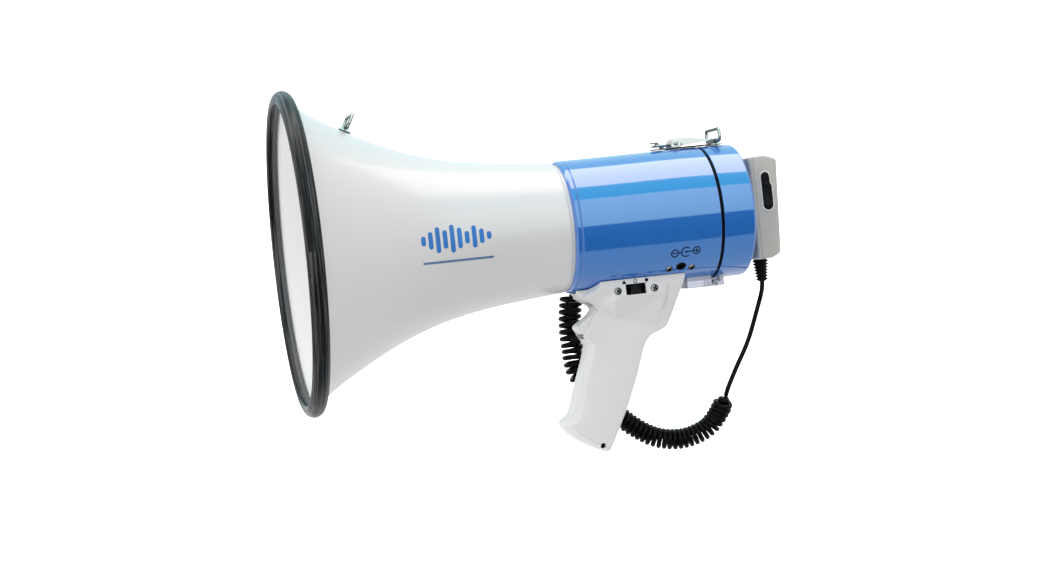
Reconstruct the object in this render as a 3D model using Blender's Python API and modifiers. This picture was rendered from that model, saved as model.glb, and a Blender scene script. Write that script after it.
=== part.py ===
"""Handheld megaphone: re-entrant horn, amplifier drum with battery cover, pistol grip and a fist microphone.

Axis of the horn is X, the mouth of the bell is the plane x = 0 and +X points to the rear. +Z is up.
The left side of the object, with the mode switch, is -Y. Lengths below are in millimetres.
"""
import math

import bmesh
import bpy
from mathutils import Matrix, Vector

MM = 0.001
SIDES = 32          # sides of the large turned parts
SIDES_INNER = 20    # sides of the inner turned parts
GAP = 0.3           # clearance between neighbours

# bell
RIM_R = 115.0
LIP_X, LIP_R = 2.5, 111.0
BELL_WALL = 2.2
NECK_R, NECK_END_X = 45.2, 206.0
# drum and rear cover
HOUSING_X0, HOUSING_X1 = 196.5, 303.8
HOUSING_R = 48.5
DRUM_WALL = 2.5
BULKHEAD_X, BULKHEAD_THICK = 208.0, 2.5
COVER_X0, COVER_X1 = 306.2, 332.0
COVER_R = 48.3
COVER_CORNER = 12.0
MOUNT_R = HOUSING_R + GAP       # seat of the parts mounted on the drum
# pivots as (x, z)
HINGE = ((HOUSING_X1 + COVER_X0) / 2, -51.6)
LEVER_PIVOT = (288.2, 52.4)
BAIL_PIVOT = (292.5, 51.6)
TRIGGER_PIVOT = (221.0, -60.0)
# cells
CELL_R, CELL_LEN, CELL_X0 = 13.1, 50.0, 268.0
CELL_RING_R = 30.55
CELLS_IN_RING = 7
# power inlet, on the lower left of the drum
JACK_X, JACK_Y, JACK_Z = 275.2, -32.0, -36.7
# grip, measured from its middle plane
GRIP_HALF = 15.0
SADDLE_HALF = 22.0
# microphone
MIC_X0, MIC_SPLIT, MIC_X1 = 335.8, 343.0, 357.5
MIC_Z0, MIC_Z1 = -37.0, 36.0
MIC_HALF = 27.0
MIC_WALL = 2.0
MIC_LEAN = 4.3                  # how far the rear face comes forward at the bottom
MIC_CORD_X = 346.0

FINISHES = {
    "white_plastic": dict(colour=(0.80, 0.80, 0.81), roughness=0.35, metallic=0.0),
    "blue_plastic": dict(colour=(0.055, 0.22, 0.64), roughness=0.2, metallic=0.0),
    "black_rubber": dict(colour=(0.025, 0.025, 0.027), roughness=0.7, metallic=0.0),
    "grip_plastic": dict(colour=(0.72, 0.72, 0.71), roughness=0.4, metallic=0.0),
    "mic_plastic": dict(colour=(0.45, 0.44, 0.40), roughness=0.5, metallic=0.0),
    "black_plastic": dict(colour=(0.02, 0.02, 0.02), roughness=0.45, metallic=0.0),
    "clear_plastic": dict(colour=(0.75, 0.80, 0.86), roughness=0.1, metallic=0.0),
    "plated_steel": dict(colour=(0.75, 0.74, 0.72), roughness=0.25, metallic=1.0),
    "spring_steel": dict(colour=(0.5, 0.5, 0.5), roughness=0.3, metallic=1.0),
    "ferrite": dict(colour=(0.06, 0.06, 0.065), roughness=0.6, metallic=0.0),
    "zinc_steel": dict(colour=(0.6, 0.6, 0.58), roughness=0.35, metallic=1.0),
    "diaphragm_film": dict(colour=(0.35, 0.2, 0.08), roughness=0.4, metallic=0.0),
    "board_green": dict(colour=(0.02, 0.2, 0.07), roughness=0.5, metallic=0.0),
    "aluminium": dict(colour=(0.7, 0.7, 0.72), roughness=0.35, metallic=1.0),
    "cell_wrap": dict(colour=(0.1, 0.1, 0.11), roughness=0.35, metallic=0.0),
    "inner_grey": dict(colour=(0.25, 0.25, 0.26), roughness=0.55, metallic=0.0),
}

for old in list(bpy.data.objects):
    bpy.data.objects.remove(old, do_unlink=True)

parts = bpy.data.collections.new("handheld_megaphone")
cutters = bpy.data.collections.new("cutters")
bpy.context.scene.collection.children.link(parts)
bpy.context.scene.collection.children.link(cutters)


# ---------------------------------------------------------------- objects and solids
# A shape with a finish is a part. A shape without one is a hidden helper for booleans.

def make_material(name, colour, roughness, metallic):
    mat = bpy.data.materials.new(name)
    mat.use_nodes = True
    inputs = mat.node_tree.nodes["Principled BSDF"].inputs
    inputs["Base Color"].default_value = (*colour, 1.0)
    inputs["Roughness"].default_value = roughness
    inputs["Metallic"].default_value = metallic
    return mat


def add_object(name, mesh, finish):
    obj = bpy.data.objects.new(name, mesh)
    if finish:
        parts.objects.link(obj)
        mesh.materials.append(make_material(name + "_" + finish, **FINISHES[finish]))
    else:
        cutters.objects.link(obj)
        obj.hide_render = True
        obj.display_type = "WIRE"
    return obj


def from_bmesh(name, bm, finish):
    bmesh.ops.recalc_face_normals(bm, faces=bm.faces[:])
    mesh = bpy.data.meshes.new(name)
    bm.to_mesh(mesh)
    bm.free()
    mesh.shade_smooth()
    mesh.set_sharp_from_angle(angle=math.radians(35))
    return add_object(name, mesh, finish)


def box(name, x, y, z, finish=None):
    """A block between the two limits given for each axis."""
    bm = bmesh.new()
    bmesh.ops.create_cube(bm, size=1.0)
    for vert in bm.verts:
        vert.co = Vector([c * (high - low) + (low + high) / 2
                          for c, (low, high) in zip(vert.co, (x, y, z))]) * MM
    return from_bmesh(name, bm, finish)


def axis_matrix(origin, direction):
    """Local +X along direction, origin in millimetres."""
    turn = Vector((1, 0, 0)).rotation_difference(Vector(direction).normalized())
    return Matrix.Translation(Vector(origin) * MM) @ turn.to_matrix().to_4x4()


def rod(name, start, end, radius, sides=12, finish=None):
    start, end = Vector(start), Vector(end)
    bm = bmesh.new()
    bmesh.ops.create_cone(bm, cap_ends=True, segments=sides, radius1=radius * MM,
                          radius2=radius * MM, depth=(end - start).length * MM)
    turn = Vector((0, 0, 1)).rotation_difference((end - start).normalized())
    place = Matrix.Translation((start + end) / 2 * MM) @ turn.to_matrix().to_4x4()
    bmesh.ops.transform(bm, verts=bm.verts[:], matrix=place)
    return from_bmesh(name, bm, finish)


def cross_rod(name, centre, y, radius, sides=12, finish=None):
    """A rod along Y through centre (x, z), from y[0] to y[1]."""
    return rod(name, (centre[0], y[0], centre[1]), (centre[0], y[1], centre[1]),
               radius, sides, finish)


def turned(name, profile, finish=None, sides=SIDES, origin=(0, 0, 0), direction=(1, 0, 0)):
    """A profile of (along the axis, radius) turned about the axis.

    It runs from high to low on its outer side. One that starts on the axis also ends there;
    any other is closed into a loop.
    """
    mesh = bpy.data.meshes.new(name)
    count = len(profile)
    edges = [(i, i + 1) for i in range(count - 1)]
    if profile[0][1] > 0:
        edges.append((count - 1, 0))
    mesh.from_pydata([(along * MM, radius * MM, 0) for along, radius in profile], edges, [])
    obj = add_object(name, mesh, finish)
    screw_mod = obj.modifiers.new("turn", "SCREW")
    screw_mod.axis = "X"
    screw_mod.angle = 2 * math.pi
    screw_mod.steps = screw_mod.render_steps = sides
    screw_mod.use_merge_vertices = True
    screw_mod.merge_threshold = 0.00001
    screw_mod.use_smooth_shade = True
    obj.matrix_world = axis_matrix(origin, direction)
    return obj


def washer(name, x0, x1, inner_r, outer_r, finish=None, sides=SIDES_INNER):
    profile = [(x1, outer_r), (x0, outer_r), (x0, inner_r), (x1, inner_r)]
    return turned(name, profile, finish, sides)


def disc(name, x0, x1, radius, finish=None, sides=SIDES, origin=(0, 0, 0)):
    return turned(name, [(x1, 0), (x1, radius), (x0, radius), (x0, 0)], finish, sides, origin)


def curve_object(name, points, cyclic):
    """A curve object with one straight-sided spline through points."""
    curve = bpy.data.curves.new(name, "CURVE")
    spline = curve.splines.new("POLY")
    spline.points.add(len(points) - 1)
    for target, (x, y, z) in zip(spline.points, points):
        target.co = (x * MM, y * MM, z * MM, 1)
    spline.use_cyclic_u = cyclic
    obj = bpy.data.objects.new(name, curve)
    cutters.objects.link(obj)
    return obj


def curve_to_mesh(obj, finish):
    """Turns a curve object into a closed mesh object of the same name."""
    bpy.context.view_layer.update()
    name = obj.name
    depsgraph = bpy.context.evaluated_depsgraph_get()
    mesh = bpy.data.meshes.new_from_object(obj.evaluated_get(depsgraph))
    place = obj.matrix_world.copy()
    bpy.data.objects.remove(obj, do_unlink=True)
    bm = bmesh.new()
    bm.from_mesh(mesh)
    bmesh.ops.remove_doubles(bm, verts=bm.verts[:], dist=0.000005)
    bmesh.ops.transform(bm, verts=bm.verts[:], matrix=place)
    return from_bmesh(name, bm, finish)


def slab(name, outline, y0, y1, finish=None):
    """A flat outline of (x, z), thick from y0 to y1."""
    obj = curve_object(name, [(x, z, 0) for x, z in outline], cyclic=True)
    obj.data.dimensions = "2D"
    obj.data.fill_mode = "BOTH"
    obj.data.extrude = abs(y1 - y0) / 2 * MM
    obj.rotation_euler = (math.pi / 2, 0, 0)
    obj.location = (0, (y0 + y1) / 2 * MM, 0)
    return curve_to_mesh(obj, finish)


def wire(name, points, radius, finish, cyclic=False, resolution=1):
    obj = curve_object(name, points, cyclic)
    obj.data.dimensions = "3D"
    obj.data.bevel_depth = radius * MM
    obj.data.bevel_resolution = resolution
    obj.data.use_fill_caps = not cyclic
    return curve_to_mesh(obj, finish)


def boolean(obj, tools, operation):
    for tool in tools:
        mod = obj.modifiers.new(operation.lower() + "_" + tool.name, "BOOLEAN")
        mod.operation = operation
        mod.solver = "EXACT"
        mod.object = tool
    return obj


def cut(obj, *tools):
    return boolean(obj, tools, "DIFFERENCE")


def fuse(obj, *tools):
    return boolean(obj, tools, "UNION")


def bevel(obj, width, segments=1, angle=40):
    mod = obj.modifiers.new("bevel", "BEVEL")
    mod.width = width * MM
    mod.segments = segments
    mod.limit_method = "ANGLE"
    mod.angle_limit = math.radians(angle)


def pivot(name, at, *children):
    """An empty on a joint axis. Its children keep their places."""
    empty = bpy.data.objects.new(name, None)
    empty.empty_display_size = 0.01
    parts.objects.link(empty)
    empty.location = Vector(at) * MM
    for child in children:
        child.parent = empty
        child.matrix_parent_inverse = Matrix.Translation(Vector(at) * -MM)


def screw(name, seat, direction, head_r, shank_r, shank_len):
    """A slotted screw. seat is the underside of the head, and direction points out of the work."""
    head_h = 0.9
    profile = [(head_h, 0), (head_h, head_r * 0.7), (0, head_r), (0, shank_r),
               (-shank_len, shank_r), (-shank_len - shank_r, 0)]
    obj = turned(name, profile, "plated_steel", 10, seat, direction)
    slot = box(name + "_slot", (-0.45, 0.6), (-0.3, 0.3), (-head_r * 0.6, head_r * 0.6))
    outward = Vector(direction).normalized()
    slot.matrix_world = axis_matrix(Vector(seat) + outward * head_h, outward)
    cut(obj, slot)


# ---------------------------------------------------------------- bell, rim guard and inner horn
# outside of the bell behind the lip, as (x, radius)
HORN_SECTIONS = [(12.5, 104.2), (30, 92.3), (45, 83.9), (60, 76.1), (75, 69.3), (90, 63.6),
                 (105, 59.0), (120, 55.6), (150, 51.1), (193.5, 46.9)]
RIM_GUARD = [(12, 114.2), (11, RIM_R), (1.5, RIM_R), (0, 113.5), (0, 107), (1.2, 105.8),
             (6.2, 105.8), (6.2, 108.5), (2.2, 108.5), (2.2, 111.3), (12, 111.3)]
THROAT_TUBE = [(207.7, 24), (205.2, 24), (205.2, 12.5), (200, 11.5), (130, 14.5), (70, 17.5),
               (70, 15.7), (130, 12.7), (200, 9.7), (207.7, 9.7)]
# outer and inner faces of the reflector bowl, which is open to the rear
BOWL_OUTER = [(150, 34), (120, 33), (90, 30), (65, 24.5), (50, 17), (43, 9), (41, 0)]
BOWL_INNER = [(43, 0), (45, 8), (52, 15.2), (66, 22.4), (90, 28), (117.4, 31), (147.4, 32)]
BOWL_INNER_SHIFT = 2.6          # moves the inner face to the rear


def offset_inward(points, distance):
    """The same open profile moved towards the axis, square to its own direction."""
    moved = []
    for i, (x, radius) in enumerate(points):
        before, after = points[max(i - 1, 0)], points[min(i + 1, len(points) - 1)]
        dx, dr = after[0] - before[0], after[1] - before[1]
        length = math.hypot(dx, dr)
        moved.append((x + dr / length * distance, radius - dx / length * distance))
    return moved


def build_bell():
    outer = ([(LIP_X, LIP_R), (7.5, LIP_R), (9.0, 107.2)] + HORN_SECTIONS
             + [(195.5, NECK_R), (NECK_END_X, NECK_R)])
    offset = offset_inward(outer, BELL_WALL)
    lip_bore, neck_bore = LIP_R - BELL_WALL, NECK_R - BELL_WALL
    # the inside of the flare uses every second section
    inner = ([(LIP_X, lip_bore), (7.0, lip_bore)] + offset[2:4] + offset[4:-3:2] + [offset[-3]]
             + [(195.0, neck_bore), (NECK_END_X, neck_bore)])
    turned("bell", outer[::-1] + inner, "white_plastic")
    turned("rim_guard", RIM_GUARD, "black_rubber")


def build_inner_horn():
    turned("throat_tube", THROAT_TUBE, "white_plastic", SIDES_INNER)
    inner = [(x + BOWL_INNER_SHIFT, radius) for x, radius in BOWL_INNER]
    reflector = turned("reflector", inner + BOWL_OUTER, "white_plastic", SIDES_INNER)
    # a ring around the throat tube, held by three ribs
    fuse(reflector, washer("reflector_ring", 120, 140, 17.2, 20.2))
    for k in range(3):
        rib = box("reflector_rib_%d" % k, (122, 138), (-1.25, 1.25), (18.6, 32.2))
        rib.data.transform(Matrix.Rotation(math.radians(90 + 120 * k), 4, "X"))
        fuse(reflector, rib)


# ---------------------------------------------------------------- driver, stacked behind the bulkhead
CLAMP_X0, CLAMP_X1 = BULKHEAD_X + BULKHEAD_THICK + GAP, 214.0
PLATE_X0, PLATE_X1 = CLAMP_X1 + GAP, 219.0
MAGNET_X0, MAGNET_X1 = PLATE_X1 + GAP, 231.0
YOKE_X0, YOKE_X1 = MAGNET_X1 + GAP, 236.0
DIAPHRAGM = [(211.9, 0), (212.2, 8), (213, 12.6), (222, 12.6), (222, 13.4), (213.05, 13.4),
             (213.05, 25.6), (212.4, 25.6), (212.4, 14), (211.5, 8), (211.2, 0)]
YOKE_R, POLE_R = 36.0, 12.0


def build_driver():
    washer("clamp_ring", CLAMP_X0, CLAMP_X1, 26, 40, "black_plastic")
    washer("top_plate", PLATE_X0, PLATE_X1, 14, 36, "zinc_steel")
    washer("magnet_ring", MAGNET_X0, MAGNET_X1, 20, 34, "ferrite")
    # the pole of the yoke reaches forward to the rear face of the top plate
    turned("yoke", [(YOKE_X1, 0), (YOKE_X1, YOKE_R), (YOKE_X0, YOKE_R), (YOKE_X0, POLE_R),
                    (PLATE_X1, POLE_R), (PLATE_X1, 0)], "zinc_steel", SIDES_INNER)
    diaphragm = turned("diaphragm", DIAPHRAGM, "diaphragm_film", SIDES_INNER)
    pivot("axis_diaphragm", (212.4, 0, 0), diaphragm)


# ---------------------------------------------------------------- drum and rear cover
BATTERY_CUP = [(300, 45.4), (265.3, 45.4), (265.3, 12), (266.8, 12), (266.8, 44.0), (300, 44.0)]


def build_housing():
    front_bore, bore = 45.7, HOUSING_R - DRUM_WALL
    bulkhead_rear = BULKHEAD_X + BULKHEAD_THICK
    housing = turned("main_housing", [
        (HOUSING_X1, HOUSING_R), (272, HOUSING_R), (232, 48.1), (198, 47.9), (HOUSING_X0, 47.0),
        (HOUSING_X0, front_bore), (BULKHEAD_X, front_bore), (BULKHEAD_X, 9), (bulkhead_rear, 9),
        (bulkhead_rear, bore), (HOUSING_X1, bore)], "blue_plastic")
    washer("seam_gasket", HOUSING_X1 + GAP, COVER_X0 - GAP, 45.7, 48.0, "black_rubber", SIDES)
    return housing


def cover_arc(radius, angles):
    """Points on the rounded rear corner of the cover. 0 degrees faces the rear."""
    return [(COVER_X1 - COVER_CORNER + radius * math.cos(math.radians(angle)),
             COVER_R - COVER_CORNER + radius * math.sin(math.radians(angle)))
            for angle in angles]


def build_rear_cover():
    profile = ([(COVER_X1, 0)] + cover_arc(COVER_CORNER, (0, 22.5, 45, 67.5, 90))
               + [(COVER_X0, COVER_R), (COVER_X0, COVER_R - DRUM_WALL)]
               + cover_arc(COVER_CORNER - DRUM_WALL, (90, 60, 30, 0))
               + [(COVER_X1 - DRUM_WALL, 0)])
    return turned("rear_cover", profile, "blue_plastic")


def build_electronics():
    board_rear = 243.1
    mount_x = board_rear + GAP
    washer("circuit_board", 241.5, board_rear, 4, 42, "board_green")
    heat_sink = box("heat_sink", (mount_x, 258), (-14, 14), (24, 27), "aluminium")
    fin_pitch, fin_half = 6.2, 0.8
    for i in range(5):
        y = (i - 2) * fin_pitch
        fuse(heat_sink, box("heat_sink_fin_%d" % i, (mount_x, 258), (y - fin_half, y + fin_half),
                            (26.5, 36)))
    turned("capacitor", [(262, 0), (262, 5.4), (261.4, 6), (244.6, 6), (mount_x, 5.4),
                         (mount_x, 0)], "black_plastic", 12, (0, 16, -14))


def battery(name, y, z, flip):
    """One cell along X, with its button to the rear, or to the front when flipped."""
    x0, x1 = CELL_X0, CELL_X0 + CELL_LEN
    shoulder = x1 - 1.7
    profile = [(x1, 0), (x1, 3.5), (shoulder, 3.6), (shoulder, CELL_R), (x0, CELL_R), (x0, 0)]
    if flip:
        profile = [(x0 + x1 - x, radius) for x, radius in profile][::-1]
    turned(name, profile, "cell_wrap", 12, (0, y, z))


def build_batteries():
    """Returns the battery cup."""
    cup = turned("battery_cup", BATTERY_CUP, "inner_grey")
    disc("battery_contact_plate", 327.2, 328.4, 33, "plated_steel", SIDES_INNER)
    # the inlet looks into the notch between two cells
    jack_angle = math.atan2(JACK_Z, JACK_Y)
    for i in range(CELLS_IN_RING):
        angle = 2 * math.pi * (i - CELLS_IN_RING / 2) / CELLS_IN_RING + jack_angle
        battery("battery_%d" % (i + 1), CELL_RING_R * math.cos(angle),
                CELL_RING_R * math.sin(angle), i % 2 == 1)
    battery("battery_%d" % (CELLS_IN_RING + 1), 0, 0, True)
    return cup


# ---------------------------------------------------------------- power inlet
# socket with a centre pin, as (distance from the drum axis, radius)
DC_JACK = [(47, 0), (47, 0.9), (41, 0.9), (41, 2.7), (49.2, 2.7), (49.2, 3.7), (39, 3.7), (39, 0)]
DC_SCREWS = [(266.5, -37.6), (283.4, -37.9)]        # x, z


def build_power_inlet(housing, cup):
    base = Vector((JACK_X, 0, 0))
    outward = Vector((0, JACK_Y, JACK_Z)).normalized()
    turned("dc_jack", DC_JACK, "black_plastic", 12, base, outward)
    hole = rod("jack_hole", base + outward * 42, base + outward * 52, 4.1)
    cut(housing, hole)
    cut(cup, hole)
    for i, (x, z) in enumerate(DC_SCREWS):
        base = Vector((x, 0, 0))
        outward = Vector((0, -math.sqrt(HOUSING_R ** 2 - z ** 2), z)).normalized()
        screw("dc_screw_%d" % (i + 1), base + outward * MOUNT_R, outward,
              head_r=2.1, shank_r=1.0, shank_len=2.2)
        cut(housing, rod("dc_screw_hole_%d" % i, base + outward * 40, base + outward * 50,
                         1.3, 8))


# ---------------------------------------------------------------- latch, on top of the drum
# outlines as (x, z)
LATCH_KEEPER = [(271.4, 53.9), (275.0, 53.9), (279.6, 49.7), (271.2, 49.7), (271.2, MOUNT_R),
                (282.2, MOUNT_R), (282.2, 49.7), (281.0, 49.7), (275.5, 54.8), (271.4, 54.8)]
LATCH_EAR = [(284.6, 49.2), (285.0, 53.2), (287.0, 54.8), (289.4, 54.8), (291.4, 53.2),
             (292.4, 49.2)]
LATCH_LEVER = [(284.6, 52.0), (285.2, 54.2), (287.0, 55.8), (290.5, 56.6), (296.0, 56.3),
               (312.0, 54.0), (313.0, 53.0), (312.2, 52.2), (297.0, 51.0), (294.4, 50.1),
               (286.4, 50.0)]
LEVER_HOLLOW = [(280, 46), (280, 53.6), (287.0, 54.8), (296.0, 55.3), (312.6, 52.9), (316, 46)]
LEVER_HALF, LEVER_WALL = 6.2, 1.0
RIVET_R, BAIL_WIRE_R = 1.0, 0.8
HOOK_X, HOOK_Z = 273.8, 51.9            # the bail's crossbar, held by the keeper


def build_latch_base():
    base = box("latch_base", (284, 313), (-9, 9), (MOUNT_R, 49.6), "plated_steel")
    for side in (-1, 1):
        fuse(base, slab("latch_ear_%d" % (side + 1), LATCH_EAR, side * 6.6, side * 7.6))
    # the plate is open between the ears, where the lever's nose comes down as it swings over
    cut(base, cross_rod("latch_ear_hole", LEVER_PIVOT, (-9, 9), RIVET_R + GAP),
        box("latch_base_notch", (283.4, 292.5), (-6.45, 6.45), (48, 50.2)))
    return base


def build_latch_lever():
    inner = LEVER_HALF - LEVER_WALL
    lever = slab("latch_lever", LATCH_LEVER, -LEVER_HALF, LEVER_HALF, "plated_steel")
    cut(lever, slab("lever_hollow", LEVER_HOLLOW, -inner, inner),
        box("lever_fork", (280, 296.4), (-inner, inner), (49, 58)),
        cross_rod("lever_hole", LEVER_PIVOT, (-9, 9), RIVET_R + GAP),
        cross_rod("bail_hole", BAIL_PIVOT, (-9, 9), BAIL_WIRE_R + GAP))
    pivot("axis_latch_lever", (LEVER_PIVOT[0], 0, LEVER_PIVOT[1]), lever)


def build_latch_rivets():
    """Two short rivets carry the lever, so that the bail can pass between them."""
    profile = [(8.5, 0), (8.5, 1.2), (7.9, 1.8), (7.9, RIVET_R), (5.0, RIVET_R), (5.0, 0)]
    return [turned("latch_rivet_%d" % (i + 1), profile, "zinc_steel", 12,
                   (LEVER_PIVOT[0], 0, LEVER_PIVOT[1]), (0, side, 0))
            for i, side in enumerate((-1, 1))]


def build_latch_bail():
    bail_x, bail_z = BAIL_PIVOT
    left = [(bail_x, -5.9, bail_z), (bail_x, -3.9, bail_z), (HOOK_X + 10.6, -3.9, HOOK_Z - 0.2),
            (HOOK_X + 6.6, -6.1, HOOK_Z), (HOOK_X, -6.1, HOOK_Z)]
    right = [(x, -y, z) for x, y, z in reversed(left)]
    bail = wire("latch_bail", left + right, BAIL_WIRE_R, "plated_steel")
    pivot("axis_latch_bail", (bail_x, 0, bail_z), bail)


# ---------------------------------------------------------------- cover hinge, under the drum
HINGE_LEAF_HALF = 17.0
HINGE_PIN_R, KNUCKLE_R = 1.05, 2.3
KNUCKLE_FRONT_HALF = 8.2
KNUCKLE_REAR = (8.6, 16.9)              # distances from the middle plane
KNUCKLE_WEB_Z = (-53.4, -50.6)


def build_hinge(drum_clearance):
    """Returns the rear leaf, which swings with the cover."""
    leaf_y = (-HINGE_LEAF_HALF, HINGE_LEAF_HALF)
    bore = cross_rod("hinge_bore", HINGE, (-20, 20), HINGE_PIN_R + GAP)
    front = box("hinge_leaf_front", (283.0, 302.0), leaf_y, (-53.8, -44.5), "clear_plastic")
    front_y = (-KNUCKLE_FRONT_HALF, KNUCKLE_FRONT_HALF)
    fuse(front, cross_rod("knuckle_front", HINGE, front_y, KNUCKLE_R, 16),
         box("knuckle_web_front", (301, HINGE[0]), front_y, KNUCKLE_WEB_Z))
    cut(front, drum_clearance, bore)

    rear = box("hinge_leaf_rear", (307.9, 311.4), leaf_y, (-53.6, -44.5), "clear_plastic")
    for side in (-1, 1):
        rear_y = [side * distance for distance in KNUCKLE_REAR]
        fuse(rear, cross_rod("knuckle_rear_%d" % (side + 1), HINGE, rear_y, KNUCKLE_R, 16),
             box("knuckle_web_rear_%d" % (side + 1), (HINGE[0], 308.4), sorted(rear_y),
                 KNUCKLE_WEB_Z))
    cut(rear, drum_clearance, bore)
    cross_rod("hinge_pin", HINGE, (-17.4, 17.4), HINGE_PIN_R, 12, "zinc_steel")
    return rear


# ---------------------------------------------------------------- strap loops
LOOP_HALF, LOOP_CORNER, LOOP_WIRE_R = 15.0, 2.5, 1.3


def build_strap_set(tag, foot, normal, eye_height, loop_top):
    """A clip with an eye across it, and a wire loop that swings in the eye.

    foot and normal are (x, z); both heights are measured along the normal. Returns the clip.
    """
    foot = Vector((foot[0], 0, foot[1]))
    normal = Vector((normal[0], 0, normal[1])).normalized()
    frame = axis_matrix(foot, normal)
    clip = box("strap_clip_" + tag, (0.3, 1.5), (-8, 8), (-4.5, 4.5), "plated_steel")
    clip.data.shade_flat()
    eye = cross_rod("strap_eye_" + tag, (eye_height, 0), (-6, 6), 2.4)
    web = box("strap_web_" + tag, (1.0, eye_height), (-6, 6), (-2.2, 2.2))
    bore = cross_rod("strap_bore_" + tag, (eye_height, 0), (-10, 10), 1.7)
    for obj in (clip, eye, web, bore):
        obj.matrix_world = frame
    fuse(clip, web, eye)
    cut(clip, bore)

    half, inset = LOOP_HALF, LOOP_HALF - LOOP_CORNER
    low, high = eye_height + LOOP_CORNER, loop_top - LOOP_CORNER
    points = [(eye_height, -inset, 0), (eye_height, inset, 0), (low, half, 0), (high, half, 0),
              (loop_top, inset, 0), (loop_top, -inset, 0), (high, -half, 0), (low, -half, 0)]
    loop = wire("strap_loop_" + tag, points, LOOP_WIRE_R, "plated_steel", cyclic=True)
    loop.data.transform(frame)
    pivot("axis_strap_loop_" + tag, foot + normal * eye_height, loop)
    return clip


# ---------------------------------------------------------------- grip
# Outlines as (x, z). The grip outline goes down the front, along the bottom and up the rear.
GRIP_FRONT = [
    (199.0, -46.0), (203.7, -50.2), (208.7, -53.9), (213.2, -57.4), (215.8, -61.3),
    (209.5, -69.2), (204.0, -77.5), (200.8, -79.4), (205.6, -85.9), (202.9, -95.1),
    (192.6, -120.7), (189.3, -131.1), (186.0, -136.8), (179.0, -141.8)]
GRIP_BOTTOM = [
    (180.9, -146.4), (186.9, -152.9), (195.9, -159.1), (204.4, -163.4), (208.7, -165.0),
    (211.4, -163.9)]
GRIP_REAR = [
    (215.7, -155.7), (228.0, -131.8), (237.0, -111.1), (242.5, -95.1), (245.2, -91.0),
    (250.0, -87.9), (260.2, -85.4), (265.0, -83.0), (267.4, -78.9), (272.4, -64.2),
    (278.8, -46.6), (280.6, -42.0)]
GRIP_POCKET = [
    (222, -46), (216.5, -58), (213.5, -68), (206.5, -78), (208.5, -86), (205.6, -96),
    (195.5, -121), (192, -133), (184.5, -142.5), (190, -150), (206, -159.5), (210, -159),
    (225.3, -131), (234.2, -110), (240, -94), (244, -88.3), (249.5, -85.3), (259.8, -82.7),
    (264.6, -78), (269.6, -63), (274, -46)]
SADDLE = [
    (210.5, -49.5), (213.6, -46.8), (217.2, -43.0), (214.0, -38.0), (281.0, -38.0),
    (279.6, -43.5), (275.4, -55.5), (272.0, -62.0), (254.0, -66.0), (226.0, -58.0)]
SADDLE_TAPER_Z, SADDLE_TAPER = -56.5, 0.62      # start, and narrowing per unit of height
TRIGGER_SLOT = [
    (224, -54.5), (213, -54.2), (190, -70), (194, -84), (206.5, -90), (217, -80), (226, -64)]
TRIGGER = [
    (213.4, -58.9), (207.6, -64.9), (200.3, -69.6), (197.4, -71.5), (196.8, -73.4),
    (200.2, -78.7), (203.4, -78.2), (210.5, -74.5), (219.0, -62.6), (223.2, -61.6),
    (223.6, -58.4), (221.0, -57.4), (217.0, -57.2)]
TRIGGER_HALF = 9.0
TRIGGER_PIN_R, TRIGGER_PIN_HALF = 1.0, 13.8
SWITCH_SCREWS = [(231.3, -49.6), (258.7, -50.0)]
GRIP_SCREW = (206.6, -157.6)
SLIDER_X = 244.5
# spring on the trigger pin
SPRING_R, SPRING_PITCH, SPRING_Y = 1.75, 0.7, -9.8
SPRING_TURNS, SPRING_PTS = 3, 8


def build_grip_half(name, side, drum_clearance):
    """One half of the grip; side is -1 for the left and 1 for the right."""
    grip = slab(name, GRIP_FRONT + GRIP_BOTTOM + GRIP_REAR, side * -6, side * GRIP_HALF,
                "grip_plastic")
    bevel(grip, 2.0, angle=60)
    trim = box(name + "_seam_trim", (150, 300), sorted((side * GAP / 2, side * -12)), (-200, 0))
    saddle = slab(name + "_saddle", SADDLE, side * 9.0, side * SADDLE_HALF)
    # the outer face of the saddle narrows towards the grip below the switch panel
    for vert in saddle.data.vertices:
        z = vert.co.z / MM
        if abs(vert.co.y) > 15 * MM and z < SADDLE_TAPER_Z:
            vert.co.y *= (SADDLE_HALF - (SADDLE_TAPER_Z - z) * SADDLE_TAPER) / SADDLE_HALF
    fuse(grip, saddle)
    pocket = slab(name + "_pocket", GRIP_POCKET, side * -1.0, side * 12.5)
    pocket_top = box(name + "_pocket_top", (223, 270), sorted((side * 11.0, side * 19.5)),
                     (-56.0, -40))
    slot = slab(name + "_trigger_slot", TRIGGER_SLOT, side * -1.0, side * (TRIGGER_HALF + GAP))
    bore = cross_rod(name + "_pin_bore", TRIGGER_PIVOT, (0, side * (TRIGGER_PIN_HALF + GAP)),
                     TRIGGER_PIN_R + GAP)
    return cut(grip, trim, drum_clearance, pocket, pocket_top, slot, bore)


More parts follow.
